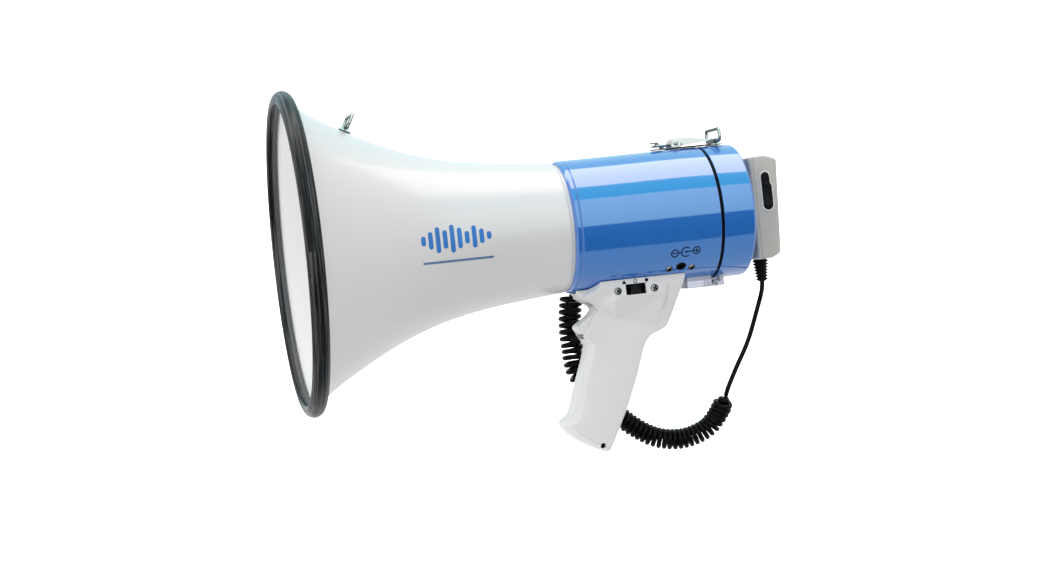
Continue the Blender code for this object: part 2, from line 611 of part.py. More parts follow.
def build_grip(drum_clearance):
    left = build_grip_half("grip_left", -1, drum_clearance)
    right = build_grip_half("grip_right", 1, drum_clearance)
    cut(left, box("switch_window", (237, 252), (-24, -18), (-53.2, -45.3)))
    for i, (x, z) in enumerate(SWITCH_SCREWS):
        screw("switch_screw_%d" % (i + 1), (x, -SADDLE_HALF - GAP, z), (0, -1, 0),
              head_r=2.1, shank_r=1.1, shank_len=4.5)
        cut(left, cross_rod("switch_screw_hole_%d" % i, (x, z), (-24, -17), 1.4, 8))
    screw("grip_screw_bottom", (GRIP_SCREW[0], -13.2, GRIP_SCREW[1]), (0, -1, 0),
          head_r=2.0, shank_r=1.2, shank_len=18.5)
    cut(left, cross_rod("grip_screw_recess", GRIP_SCREW, (-17, -12.9), 2.5),
        cross_rod("grip_screw_hole", GRIP_SCREW, (-17, 2), 1.5, 8))
    cut(right, cross_rod("grip_screw_hole_far", GRIP_SCREW, (-2, 10), 1.5, 8))


def build_mode_switch():
    box("mode_switch_body", (234.5, 254.5), (-17.2, -12.4), (-54.6, -48.0), "black_plastic")
    slider = box("mode_switch_slider", (SLIDER_X - 3.7, SLIDER_X + 3.7), (-22.6, -17.5),
                 (-52.4, -46.2), "black_plastic")
    for i in range(3):
        x = SLIDER_X + (i - 1) * 2.1
        cut(slider, box("slider_groove_%d" % i, (x - 0.35, x + 0.35), (-23, -22.1), (-54, -45)))
    pivot("axis_mode_switch", (SLIDER_X, -20, -49.3), slider)


def build_trigger():
    trigger = slab("trigger", TRIGGER, -TRIGGER_HALF, TRIGGER_HALF, "grip_plastic")
    bevel(trigger, 0.8)
    cut(trigger, cross_rod("trigger_bore", TRIGGER_PIVOT, (-12, 12), TRIGGER_PIN_R + GAP))
    cross_rod("trigger_pin", TRIGGER_PIVOT, (-TRIGGER_PIN_HALF, TRIGGER_PIN_HALF),
              TRIGGER_PIN_R, 12, "zinc_steel")
    pivot("axis_trigger", (TRIGGER_PIVOT[0], 0, TRIGGER_PIVOT[1]), trigger)


def build_trigger_spring():
    """A coil about the pin, on the left of the trigger, with two legs pointing down."""
    pin_x, pin_z = TRIGGER_PIVOT
    points = [(pin_x - 2.6, SPRING_Y, pin_z - 6.5)]
    for i in range(SPRING_TURNS * SPRING_PTS + 1):
        angle = math.radians(180 + 360 / SPRING_PTS * i)
        points.append((pin_x + SPRING_R * math.cos(angle),
                       SPRING_Y - SPRING_PITCH * i / SPRING_PTS,
                       pin_z + SPRING_R * math.sin(angle)))
    points.append((pin_x - 1.2, points[-1][1], pin_z - 5.0))
    wire("trigger_spring", points, 0.25, "spring_steel", resolution=0)


def build_microswitch():
    body = box("trigger_microswitch", (217.5, 229.5), (-3.2, 3.2), (-84.0, -77.0),
               "black_plastic")
    fuse(body, box("microswitch_button", (215.9, 218.0), (-1.2, 1.2), (-82.0, -79.5)))


# ---------------------------------------------------------------- microphone, behind the cover

def mic_block(name, inset):
    """A block inset from the microphone's outside. Its rear face leans in towards the bottom."""
    block = box(name, (MIC_X0 + inset, MIC_X1 - inset), (-MIC_HALF + inset, MIC_HALF - inset),
                (MIC_Z0 + inset, MIC_Z1 - inset))
    for vert in block.data.vertices:
        if vert.co.x > 350 * MM:
            drop = (MIC_Z1 * MM - vert.co.z) / ((MIC_Z1 - MIC_Z0) * MM)
            vert.co.x -= MIC_LEAN * MM * drop
    return block


def mic_shell(name, x, outer, hollow):
    shell = box(name, x, (-40, 40), (-50, 50), "mic_plastic")
    boolean(shell, [outer], "INTERSECT")
    return cut(shell, hollow)


def build_microphone():
    outer = mic_block("mic_outer", 0)
    bevel(outer, 3.0, segments=3)
    hollow = mic_block("mic_hollow", MIC_WALL)

    # the speaking side, which faces +X
    front = mic_shell("mic_front_shell", (MIC_SPLIT + GAP / 2, 370), outer, hollow)
    cut(front, box("button_slot", (345.0, 351.6), (-30, -23), (-1.1, 23.9)))
    for i in range(5):
        z = 6 + 4 * i
        cut(front, box("grille_slot_%d" % i, (350, 362), (-13, 13), (z - 0.8, z + 0.8)))

    # the side towards the cover, with a headed stud that hangs in the hanger
    back = mic_shell("mic_back_shell", (330, MIC_SPLIT - GAP / 2), outer, hollow)
    stud = [(337, 0), (337, 2.4), (334.2, 2.4), (334.2, 4.4), (332.9, 4.4), (332.9, 0)]
    fuse(back, turned("mic_stud", stud, sides=12))

    capsule = disc("mic_capsule", 347, 351.5, 8, "black_plastic", 16, (0, 0, 14))
    pivot("axis_mic", (340, 0, 0), front, back, capsule)

    button = box("mic_talk_button", (345.4, 351.2), (-28.2, -22.0), (-0.7, 23.5),
                 "black_plastic")
    bevel(button, 1.6, segments=2)
    pivot("axis_talk_button", (348.3, -25, 11.4), button)


def build_mic_hanger():
    """A block on the rear cover with a stepped slot, open at the top."""
    hanger = box("mic_hanger", (COVER_X1 + GAP, MIC_X0 - GAP), (-8, 8), (-9, 7),
                 "black_plastic")
    return cut(hanger, box("hanger_pocket", (332.0, 334.5), (-4.8, 4.8), (-4.8, 12)),
               box("hanger_slot", (334.0, 337.0), (-2.8, 2.8), (-2.8, 12)))


def build_strain_relief():
    """Six ribs that get smaller downwards, as (z, radius)."""
    rib_pitch, rib_thick, groove_depth = 2.6, 1.4, 1.2
    profile = [(-37.4, 0), (-37.4, 4.4)]
    for i in range(6):
        top = -38.6 - i * rib_pitch
        radius = 5.7 - i * 0.28
        groove_r = radius - groove_depth
        profile += [(top, radius), (top - rib_thick, radius), (top - rib_thick, groove_r),
                    (top - rib_pitch, groove_r)]
    bottom = profile[-1][0]
    profile += [(bottom, 2.7), (bottom, 0)]
    turned("mic_strain_relief", profile, "black_rubber", 10, (MIC_CORD_X, 0, 0), (0, 0, 1))


# ---------------------------------------------------------------- cord
COIL_R, COIL_WIRE_R, LEAD_R = 6.9, 1.15, 1.7
COIL_PTS = 6                    # points in each turn
COIL_EASE = 4.0                 # length over which the coil opens and closes at its ends
# Centreline of the coil as (x, y, z): forward under the grip, then up its right side.
COIL_PATH = [
    (309.0, 1, -137.5), (305.7, 5, -144.5), (301.6, 8, -151.4), (295.5, 9, -157.4),
    (286.4, 10, -161.6), (276.2, 11, -163.6), (265.5, 12, -163.0), (254.3, 14, -159.6),
    (244.3, 17, -153.2), (235.2, 21, -145.0), (226.5, 26, -134.0), (218.0, 29, -122.0),
    (210.5, 27.5, -113.0), (206.0, 26.5, -107.5), (203.8, 25.0, -98.9), (203.3, 24.2, -90.0),
    (202.7, 24.0, -81.1), (203.0, 24.0, -71.5), (204.0, 24.0, -62.5), (207.5, 22.6, -55.0)]
# straight lead from the microphone down to the coil
LEAD_PATH = [
    (MIC_CORD_X, 0, -54.9), (344.5, 0, -62.5), (341, 0, -71.7), (330.5, 0, -96.5),
    (318.2, 0, -117.3), (311.4, 0, -129.5), (309.4, 0.4, -134.6)]


def smooth_path(control, steps):
    """Catmull-Rom through the control points."""
    pts = [Vector(p) for p in control]
    pts = [2 * pts[0] - pts[1]] + pts + [2 * pts[-1] - pts[-2]]
    path = []
    for i in range(1, len(pts) - 2):
        p0, p1, p2, p3 = pts[i - 1:i + 3]
        for k in range(steps):
            t = k / steps
            path.append(0.5 * ((2 * p1) + (p2 - p0) * t + (2 * p0 - 5 * p1 + 4 * p2 - p3) * t ** 2
                               + (3 * p1 - p0 - 3 * p2 + p3) * t ** 3))
    path.append(pts[-2])
    return path


def coil_pitch(fraction):
    """The coil is stretched over the last part of its length."""
    return 3.75 if fraction < 0.62 else 4.8


def coil_along(control):
    """Points of a coil wound about a curved centreline."""
    path = smooth_path(control, 24)
    last = len(path) - 1
    length = [0.0]
    for start, end in zip(path, path[1:]):
        length.append(length[-1] + (end - start).length)
    total = length[-1]
    tangents = [(path[min(i + 1, last)] - path[max(i - 1, 0)]).normalized()
                for i in range(last + 1)]
    # carry the normal along the path, so that the frame does not twist
    normal = tangents[0].cross(Vector((0, 1, 0))).normalized()
    frames = []
    for tangent in tangents:
        normal = (normal - tangent * normal.dot(tangent)).normalized()
        frames.append((normal.copy(), tangent.cross(normal)))
    points = []
    travelled, phase, i = 0.0, 0.0, 0
    while travelled < total:
        while i < last - 1 and length[i + 1] < travelled:
            i += 1
        fraction = (travelled - length[i]) / (length[i + 1] - length[i])
        centre = path[i].lerp(path[i + 1], fraction)
        normal, binormal = frames[i]
        ease = min(1.0, travelled / COIL_EASE, (total - travelled) / COIL_EASE + 0.02)
        radius = COIL_R * max(ease, 0.05)
        points.append(centre + normal * (radius * math.cos(phase))
                      + binormal * (radius * math.sin(phase)))
        phase += 2 * math.pi / COIL_PTS
        travelled += coil_pitch(travelled / total) / COIL_PTS
    points.append(path[-1])
    return points


def build_cord():
    wire("cord_coil", coil_along(COIL_PATH), COIL_WIRE_R, "black_rubber", resolution=0)
    wire("cord_lead", smooth_path(LEAD_PATH, 3), LEAD_R, "black_rubber", resolution=0)


# ---------------------------------------------------------------- assembly
build_bell()
build_inner_horn()
build_driver()
main_housing = build_housing()
rear_cover = build_rear_cover()
build_electronics()
build_power_inlet(main_housing, build_batteries())

latch_base = build_latch_base()
slab("latch_keeper", LATCH_KEEPER, -4.2, 4.2, "plated_steel")
build_latch_lever()
latch_rivets = build_latch_rivets()
build_latch_bail()

drum_space = disc("drum_clearance", 180, 330, MOUNT_R)      # the drum with clearance around it
rear_leaf = build_hinge(drum_space)
build_strap_set("front", (48.0, 82.4), (0.461, 0.887), eye_height=3.6, loop_top=12.4)
rear_clip = build_strap_set("rear", (319.5, 48.25), (0.0, 1.0), eye_height=3.2, loop_top=11.6)

build_grip(drum_space)
build_mode_switch()
build_trigger()
build_trigger_spring()
build_microswitch()

build_microphone()
mic_hanger = build_mic_hanger()
build_strain_relief()
build_cord()

# everything that swings open with the cover
pivot("axis_cover", (HINGE[0], 0, HINGE[1]), rear_cover, rear_leaf, latch_base, mic_hanger,
      rear_clip, *latch_rivets)
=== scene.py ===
"""Handheld megaphone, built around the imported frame.

The horn's axis lies along X: the bell opens towards -X with its rim near x = 0, the drum and its
rear cover follow towards +X, and the microphone sits behind the cover. The grip hangs towards -Z.
The mode switch, talk button and printed marks are on the near side, -Y. Shapes are given in
millimetres and made in metres.
"""
import math

import bmesh
import bpy
import numpy as np
from mathutils import Matrix, Vector


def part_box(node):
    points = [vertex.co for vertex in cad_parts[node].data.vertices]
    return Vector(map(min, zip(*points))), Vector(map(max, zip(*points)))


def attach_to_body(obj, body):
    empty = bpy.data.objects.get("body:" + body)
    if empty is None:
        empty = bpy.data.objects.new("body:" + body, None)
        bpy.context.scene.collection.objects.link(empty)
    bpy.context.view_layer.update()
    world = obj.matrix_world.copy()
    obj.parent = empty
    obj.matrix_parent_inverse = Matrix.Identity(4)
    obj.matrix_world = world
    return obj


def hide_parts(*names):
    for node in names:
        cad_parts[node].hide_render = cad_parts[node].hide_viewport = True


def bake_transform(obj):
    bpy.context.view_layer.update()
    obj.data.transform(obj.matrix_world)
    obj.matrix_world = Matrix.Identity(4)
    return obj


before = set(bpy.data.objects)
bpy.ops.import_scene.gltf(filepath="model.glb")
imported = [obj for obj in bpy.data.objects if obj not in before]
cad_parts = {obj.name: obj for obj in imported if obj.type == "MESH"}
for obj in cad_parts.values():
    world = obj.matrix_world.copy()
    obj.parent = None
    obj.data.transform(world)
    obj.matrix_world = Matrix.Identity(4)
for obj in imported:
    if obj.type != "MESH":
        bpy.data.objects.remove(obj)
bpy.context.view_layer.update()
MM = 0.001

# Driving dimensions that several pieces share
DRUM_RADIUS = 48.5
DRUM_CLEARANCE = 0.25           # between the drum and what is fitted round it
HINGE_X, HINGE_Z = 305.0, -51.6
TRIGGER_X, TRIGGER_Z = 221, -60
SWITCH_X = 242.1                # middle of the mode switch
SWITCH_SCREWS = ((228.7, -49.6), (255.9, -50.0))        # x, z
FOOT_SCREW_X, FOOT_SCREW_Z = 209.0, -159.0

# ---------------------------------------------------------------- materials
LOOKS = {}          # look name: material


def grey(level):
    return (level, level, level)


def rgba(color, scale=1.0):
    return (*[min(1.0, c * scale) for c in color], 1.0)


class Graph:
    """A node tree being built. An input given as a socket is linked; anything else is set."""

    def __init__(self, owner, clear=True):
        owner.use_nodes = True
        self.tree = owner.node_tree
        if clear:
            self.tree.nodes.clear()

    def node(self, kind, inputs=None, **settings):
        made = self.tree.nodes.new("ShaderNode" + kind)
        for key, value in settings.items():
            setattr(made, key, value)
        for key, value in (inputs or {}).items():
            if isinstance(value, bpy.types.NodeSocket):
                self.tree.links.new(value, made.inputs[key])
            else:
                made.inputs[key].default_value = value
        return made

    def math(self, operation, *values):
        return self.node("Math", dict(enumerate(values)), operation=operation).outputs["Value"]

    def noise(self, vector, scale, detail, roughness=0.5):
        inputs = {"Vector": vector, "Scale": scale, "Detail": detail, "Roughness": roughness}
        return self.node("TexNoise", inputs).outputs["Fac"]

    def remap(self, value, source, target=(0.0, 1.0), **settings):
        inputs = {"Value": value, "From Min": source[0], "From Max": source[1],
                  "To Min": target[0], "To Max": target[1]}
        return self.node("MapRange", inputs, **settings).outputs["Result"]

    def mix(self, factor, a, b):
        inputs = {"Factor": factor, "A": a, "B": b}
        return self.node("Mix", inputs, data_type="RGBA").outputs["Result"]

    def pointiness(self):
        return self.node("NewGeometry").outputs["Pointiness"]

    def split(self, vector):
        return self.node("SeparateXYZ", {"Vector": vector}).outputs


def ring_sheen_streaks(graph, base, light):
    """Fine light lines painted around the horn's axis: a painted streaky sheen."""
    axes = graph.split(graph.node("TexCoord").outputs["Object"])
    across = graph.node("CombineXYZ", {"Y": axes["Y"], "Z": axes["Z"]}).outputs["Vector"]
    radius = graph.node("VectorMath", {0: across}, operation="LENGTH").outputs["Value"]
    angle = graph.math("ARCTAN2", axes["Z"], axes["Y"])
    stretched = graph.math("MULTIPLY", angle, 0.003)    # slow change along each line
    place = graph.node("CombineXYZ", {"X": axes["X"], "Y": radius, "Z": stretched})
    streaks = graph.noise(place.outputs["Vector"], scale=620.0, detail=3.0, roughness=0.6)
    return graph.mix(graph.remap(streaks, (0.44, 0.68)), base, rgba(light))


def make_material(name, color, rough, metal=0.0, spec=0.5, spec_tint=(1, 1, 1), ior=1.5,
                  transmission=0.0, coat=0.0, coat_ior=1.5, coat_rough=0.04, grain=900.0,
                  bump=0.05, brush=(1.0, 1.0, 1.0), var=0.05, rough_var=0.06, speck=0.0,
                  wear=None, dust=0.0, turn_dark=0.0, turn_at=(0.12, 0.50), rings=None):
    """A moulded, painted, plated or rubber finish.

    grain, bump and brush: scale, strength and stretch of the fine relief.
    var and rough_var: how far colour and roughness drift.
    speck: strength of small dark specks.
    wear: (colour, amount) on edges. dust: painted shade, darkening in hollows.
    turn_dark and turn_at: painted shade where a face turns away from the view, standing for dark
    reflections at grazing angles, and over which facing values.
    rings: colour of the painted sheen lines around the horn's axis.
    """
    material = bpy.data.materials.new(name)
    graph = Graph(material)
    place = graph.node("TexCoord").outputs["Object"]
    brushed = graph.node("Mapping", {"Vector": place, "Scale": brush}).outputs["Vector"]
    fine = graph.noise(brushed, scale=grain, detail=3.0, roughness=0.6)
    slow = graph.noise(place, scale=22.0, detail=4.0)
    middle = graph.noise(place, scale=160.0, detail=5.0)
    drift = graph.math("ADD", graph.remap(slow, (0.3, 0.7), (-0.6, 0.6)),
                       graph.remap(middle, (0.3, 0.7), (-0.4, 0.4)))
    drift_span = (-0.8, 0.8)
    shade = graph.mix(graph.remap(drift, drift_span), rgba(color, 1 - var), rgba(color, 1 + var))
    if speck > 0:
        cells = graph.node("TexVoronoi", {"Vector": place, "Scale": 420.0}).outputs["Distance"]
        shade = graph.mix(graph.remap(cells, (0.0, 0.16), (speck, 0.0)), shade, rgba(color, 0.55))
    if wear:
        worn, amount = wear
        edge = graph.remap(graph.pointiness(), (0.57, 0.66))
        patches = graph.remap(middle, (0.38, 0.62), (0.0, amount))
        shade = graph.mix(graph.math("MULTIPLY", edge, patches), shade, rgba(worn))
    # painted shade: darker in hollows, found by pointiness
    if dust > 0:
        hollow = graph.remap(graph.pointiness(), (0.49, 0.42), (0.0, dust))
        shade = graph.mix(hollow, shade, rgba(color, 0.45))
    # painted shade: darker where a face turns away from the view, standing for dark reflections at
    # its edges
    if turn_dark > 0:
        facing = graph.node("LayerWeight", {"Blend": 0.35}).outputs["Facing"]
        shade = graph.mix(graph.remap(facing, turn_at, (0.0, turn_dark)), shade, rgba(color, 0.04))
    # painted sheen: light streaks around the horn's axis
    if rings:
        shade = ring_sheen_streaks(graph, shade, rings)
    relief = graph.node("Bump", {"Strength": bump, "Distance": 0.0002, "Height": fine})
    surface = graph.node("BsdfPrincipled", {
        "Base Color": shade,
        "Roughness": graph.remap(drift, drift_span, (rough - rough_var, rough + rough_var)),
        "Metallic": metal,
        "IOR": ior,
        "Specular IOR Level": spec,
        "Specular Tint": rgba(spec_tint),
        "Coat Weight": coat,
        "Coat IOR": coat_ior,
        "Coat Roughness": coat_rough,
        "Transmission Weight": transmission,
        "Normal": relief.outputs["Normal"]})
    graph.node("OutputMaterial", {"Surface": surface.outputs["BSDF"]})
    material.diffuse_color = rgba(color)
    return material


def look(key, name, slot, color, **finish):
    LOOKS[key] = make_material(name, color, **finish)


# plastics and rubber outside
look("white", "bell_white", "white_plastic", grey(0.80), rough=0.30, spec=0.3, coat=0.32,
     grain=260, bump=0.02, var=0.006, rough_var=0.02, wear=(grey(0.86), 0.06))
look("blue", "drum_blue", "blue_plastic", (0.012, 0.166, 0.60), rough=0.35, spec=0.2, coat=1.0,
     coat_ior=1.95, coat_rough=0.015, grain=220, bump=0.006, var=0.02, rough_var=0.05,
     wear=((0.10, 0.33, 0.75), 0.25))
look("rubber", "rim_rubber", "black_rubber", (0.006, 0.006, 0.0065), rough=0.30, spec=0.10,
     grain=1500, bump=0.20, var=0.16, rough_var=0.12, wear=(grey(0.04), 0.5),
     rings=(0.11, 0.11, 0.113))
# a lighter grey copy of the rim rubber: painted shade for the shaded band inside the mouth
look("lip", "rim_lip_painted_shade", "black_rubber", (0.085, 0.085, 0.088), rough=0.5, grain=1500,
     bump=0.2, var=0.12, rough_var=0.1)
look("cord", "cord_rubber", "black_rubber", grey(0.003), rough=0.12, spec=0.10,
     spec_tint=(1.0, 0.72, 0.67), grain=1800, bump=0.08, var=0.12, rough_var=0.04)
look("grip", "grip_plastic", "grip_plastic", (0.885, 0.878, 0.87), rough=0.42, spec=0.2,
     grain=2600, bump=0.12, var=0.010, rough_var=0.05, wear=((0.9, 0.9, 0.89), 0.3), dust=0.10)
look("mic", "mic_plastic", "mic_plastic", (0.56, 0.54, 0.505), rough=0.50, spec=0.25,
     grain=2400, bump=0.24, var=0.025, wear=((0.66, 0.65, 0.61), 0.45), dust=0.15, speck=0.06)
# a pale copy of the microphone plastic: painted highlight round the control
look("mic_highlight", "mic_bezel_painted_highlight", "mic_plastic", (0.90, 0.89, 0.87), rough=0.45, spec=0.1,
     grain=2400, bump=0.2, var=0.03)
look("black", "black_plastic", "black_plastic", (0.007, 0.007, 0.0075), rough=0.36, spec=0.07,
     spec_tint=(1.0, 0.74, 0.70), grain=2200, bump=0.16, var=0.15, rough_var=0.1,
     wear=(grey(0.07), 0.5))
look("clear", "clear_plastic", "clear_plastic", (0.80, 0.82, 0.94), rough=0.10, grain=300,
     bump=0.12, var=0.10, transmission=0.45, ior=1.52, speck=0.6, turn_dark=0.55)

# metals
look("nickel", "nickel_plate", "plated_steel", (0.46, 0.45, 0.42), rough=0.18, metal=1.0,
     grain=700, var=0.06, rough_var=0.09, brush=(1.0, 6.0, 1.0),
     wear=((0.62, 0.60, 0.57), 0.4), dust=0.8, turn_dark=0.97)
look("lever", "lever_nickel", "plated_steel", (0.93, 0.86, 0.77), rough=0.34, metal=0.25,
     spec=0.3, rough_var=0.08, dust=0.8, turn_dark=0.9, turn_at=(0.30, 0.75))
look("screw", "screw_nickel", "plated_steel", (0.70, 0.67, 0.62), rough=0.26, metal=0.35,
     spec=0.3, var=0.08, rough_var=0.08, dust=0.9, turn_dark=0.99, turn_at=(0.02, 0.16))
# a darker copy of the plated steel: painted shade standing for dark reflections on the keeper and
# the latch base
look("steel", "latch_steel_painted_dark", "plated_steel", (0.13, 0.125, 0.12), rough=0.22, metal=0.9,
     grain=700, bump=0.06, var=0.08, rough_var=0.09, dust=0.9, turn_dark=0.98,
     turn_at=(0.04, 0.34))
look("zinc", "zinc_plate", "zinc_steel", (0.36, 0.36, 0.35), rough=0.30, metal=1.0, bump=0.08,
     var=0.09, rough_var=0.1, dust=0.3, turn_dark=0.9)

# inner parts
look("ferrite", "ferrite", "ferrite", (0.05, 0.05, 0.055), rough=0.6, grain=1600, bump=0.3,
     var=0.2)
look("film", "diaphragm_film", "diaphragm_film", (0.32, 0.18, 0.07), rough=0.4, grain=1200,
     bump=0.1, var=0.12)
look("board", "solder_mask", "board_green", (0.012, 0.16, 0.055), rough=0.38, grain=500,
     bump=0.12, var=0.2, coat=0.3)
look("alu", "extruded_aluminium", "aluminium", (0.66, 0.66, 0.68), rough=0.36, metal=1.0,
     grain=600, bump=0.1, var=0.06, brush=(8.0, 1.0, 1.0))
look("grey", "inner_grey", "inner_grey", (0.20, 0.20, 0.21), rough=0.5, grain=1800, bump=0.18,
     var=0.06)
look("sleeve", "cell_sleeve", "cell_wrap", (0.045, 0.05, 0.06), rough=0.28, grain=300,
     bump=0.03, var=0.1, coat=0.4)
look("band", "cell_band", "cell_wrap", (0.55, 0.30, 0.06), rough=0.26, grain=300, bump=0.03,
     var=0.08, coat=0.4)

# printed marks, and painted shadow for dark gaps
look("mark_blue", "mark_blue", "blue_plastic", (0.012, 0.185, 0.60), rough=0.40, grain=1400,
     var=0.10)
look("mark_grey", "mark_grey", "blue_plastic", (0.10, 0.20, 0.38), rough=0.4, grain=1400,
     var=0.10)
look("navy", "print_navy", "black_plastic", (0.003, 0.006, 0.045), rough=0.5, spec=0.04,
     grain=1400, var=0.1)
look("shadow", "painted_gap_shadow", "black_plastic", (0.003, 0.003, 0.004), rough=0.55, spec=0.05,
     spec_tint=(1.0, 0.74, 0.70), grain=1400, bump=0.1, var=0.2)


# ---------------------------------------------------------------- curves
def corner_curve(start, corner, end, steps):
    out = []
    for j in range(steps + 1):
        s = j / steps
        out.append(start * (1 - s) ** 2 + corner * 2 * s * (1 - s) + end * s ** 2)
    return out


def fillet(corners, steps=5):
    """Round a flat profile of (u, v) or (u, v, radius) corners; no radius leaves one sharp."""
    out = []
    for i, (u, v, *rest) in enumerate(corners):
        if not rest or rest[0] <= 0:
            out.append((u, v))
            continue
        corner = Vector((u, v))
        back = Vector(corners[i - 1][:2]) - corner
        ahead = Vector(corners[(i + 1) % len(corners)][:2]) - corner
        back_length, ahead_length = back.length, ahead.length
        back.normalize()
        ahead.normalize()
        angle = max(0.05, back.angle(ahead))
        reach = min(rest[0] / math.tan(angle / 2), 0.49 * back_length, 0.49 * ahead_length)
        curve = corner_curve(corner + back * reach, corner, corner + ahead * reach, steps)
        out += [(p.x, p.y) for p in curve]
    return out


def rounded(outline, radius, steps=3):
    """A flat outline with every corner rounded alike."""
    return fillet([(x, z, radius) for x, z in outline], steps)


def bend(points, radius, steps=5, cyclic=False):
    """A line in space with its corners rounded."""
    path = [Vector(p) for p in points]
    out = []
    for i, corner in enumerate(path):
        if not cyclic and i in (0, len(path) - 1):
            out.append(corner)
            continue
        back, ahead = path[i - 1] - corner, path[(i + 1) % len(path)] - corner
        reach = min(radius, back.length * 0.48, ahead.length * 0.48)
        out += corner_curve(corner + back.normalized() * reach, corner,
                            corner + ahead.normalized() * reach, steps)
    return out


def smooth_path(control, steps):
    """A Catmull-Rom curve through points in space."""
    pts = [Vector(p) for p in control]
    pts = [2 * pts[0] - pts[1]] + pts + [2 * pts[-1] - pts[-2]]
    out = []
    for i in range(1, len(pts) - 2):
        for k in range(steps):
            t = k / steps
            a, b, c, d = pts[i - 1:i + 3]
            out.append(0.5 * ((2 * b) + (c - a) * t + (2 * a - 5 * b + 4 * c - d) * t ** 2
                              + (3 * b - a - 3 * c + d) * t ** 3))
    out.append(pts[-2])
    return out


def smooth_profile(points, steps):
    return [(p.x, p.y) for p in smooth_path([(x, radius, 0) for x, radius in points], steps)]


def circle(middle_x, middle_z, radius, start=0, end=360, steps=26):
    """Points on a circle or, when it isn't a full turn, on an arc with both its ends."""
    count = steps if end - start == 360 else steps + 1
    angles = [math.radians(start + (end - start) * i / steps) for i in range(count)]
    return [(middle_x + radius * math.cos(a), middle_z + radius * math.sin(a)) for a in angles]


def carried_frames(tangents, normal):
    """Cross axes carried along a path without twist."""
    frames = []
    for tangent in tangents:
        normal = (normal - tangent * normal.dot(tangent)).normalized()
        frames.append((normal.copy(), tangent.cross(normal)))
    return frames


# ---------------------------------------------------------------- shapes
def aim(origin, direction):
    """The matrix that takes the X axis to a direction at a point."""
    turn = Vector((1, 0, 0)).rotation_difference(Vector(direction).normalized())
    return Matrix.Translation(Vector(origin) * MM) @ turn.to_matrix().to_4x4()


def moved(shape, matrix):
    bmesh.ops.transform(shape, matrix=matrix, verts=shape.verts[:])
    return shape


def lathe_shape(profile, segments=160, matrix=None):
    """An (x, radius) profile turned about X. It closes on itself unless it starts on the axis."""
    shape = bmesh.new()
    rings = []
    for x, radius in profile:
        if radius < 1e-6:
            rings.append([shape.verts.new((x * MM, 0, 0))])
            continue
        angles = [2 * math.pi * k / segments for k in range(segments)]
        rings.append([shape.verts.new((x * MM, radius * MM * math.cos(a),
                                       radius * MM * math.sin(a))) for a in angles])
    following = rings[1:] if len(rings[0]) == 1 else rings[1:] + rings[:1]
    for a, b in zip(rings, following):
        for k in range(segments):
            k2 = (k + 1) % segments
            if len(a) == 1:
                shape.faces.new((a[0], b[k2], b[k]))
            elif len(b) == 1:
                shape.faces.new((a[k], a[k2], b[0]))
            else:
                shape.faces.new((a[k], a[k2], b[k2], b[k]))
    return moved(shape, matrix) if matrix else shape


def tube_shape(points, radius, sides=12, cyclic=False):
    """A round wire with domed ends. radius may be a function of the share of the way along."""
    path = [Vector(p) for p in points]
    count = len(path)
    tangents = []
    for i in range(count):
        before = path[(i - 1) % count] if (cyclic or i > 0) else path[i]
        after = path[(i + 1) % count] if (cyclic or i < count - 1) else path[i]
        tangents.append((after - before).normalized())
    first, last = tangents[0], tangents[-1]
    upward = Vector((0, 0, 1)) if abs(first.z) < 0.9 else Vector((1, 0, 0))
    frames = carried_frames(tangents, (upward - first * upward.dot(first)).normalized())
    radius_at = radius if callable(radius) else (lambda share: radius)
    rows = [(p, frames[i], radius_at(i / max(1, count - 1))) for i, p in enumerate(path)]
    if not cyclic:
        dome = [(k, math.sqrt(1 - k * k)) for k in (0.2, 0.6, 0.9)]
        start, end = radius_at(0.0), radius_at(1.0)
        rows = ([(path[0] - first * start * out, frames[0], start * k) for k, out in dome] + rows
                + [(path[-1] + last * end * out, frames[-1], end * k) for k, out in dome[::-1]])
    shape = bmesh.new()
    turns = [2 * math.pi * k / sides for k in range(sides)]
    rings = [[shape.verts.new((middle + (n * math.cos(a) + b * math.sin(a)) * size) * MM)
              for a in turns] for middle, (n, b), size in rows]
    for i in range(len(rings) if cyclic else len(rings) - 1):
        a, b = rings[i], rings[(i + 1) % len(rings)]
        shift = 0
        if i == len(rings) - 1:     # the frame may have turned on its way round
            shift = min(range(sides), key=lambda s: (a[0].co - b[s].co).length)
        for k in range(sides):
            k2 = (k + 1) % sides
            shape.faces.new((a[k], a[k2], b[(k2 + shift) % sides], b[(k + shift) % sides]))
    if not cyclic:
        shape.faces.new(rings[0][::-1])
        shape.faces.new(rings[-1])
    return shape


def box_shape(x, y, z, rounding=0.0, steps=3):
    """A box between the (low, high) pairs x, y and z."""
    shape = bmesh.new()
    bmesh.ops.create_cube(shape, size=1.0)
    size = Vector((x[1] - x[0], y[1] - y[0], z[1] - z[0]))
    middle = Vector((x[0] + x[1], y[0] + y[1], z[0] + z[1])) / 2
    for vert in shape.verts:
        vert.co = Vector([c * s + m for c, s, m in zip(vert.co, size, middle)]) * MM
    if rounding > 0:
        bmesh.ops.bevel(shape, geom=shape.edges[:], offset=rounding * MM, segments=steps,
                        profile=0.5, affect="EDGES", clamp_overlap=True)
    return shape


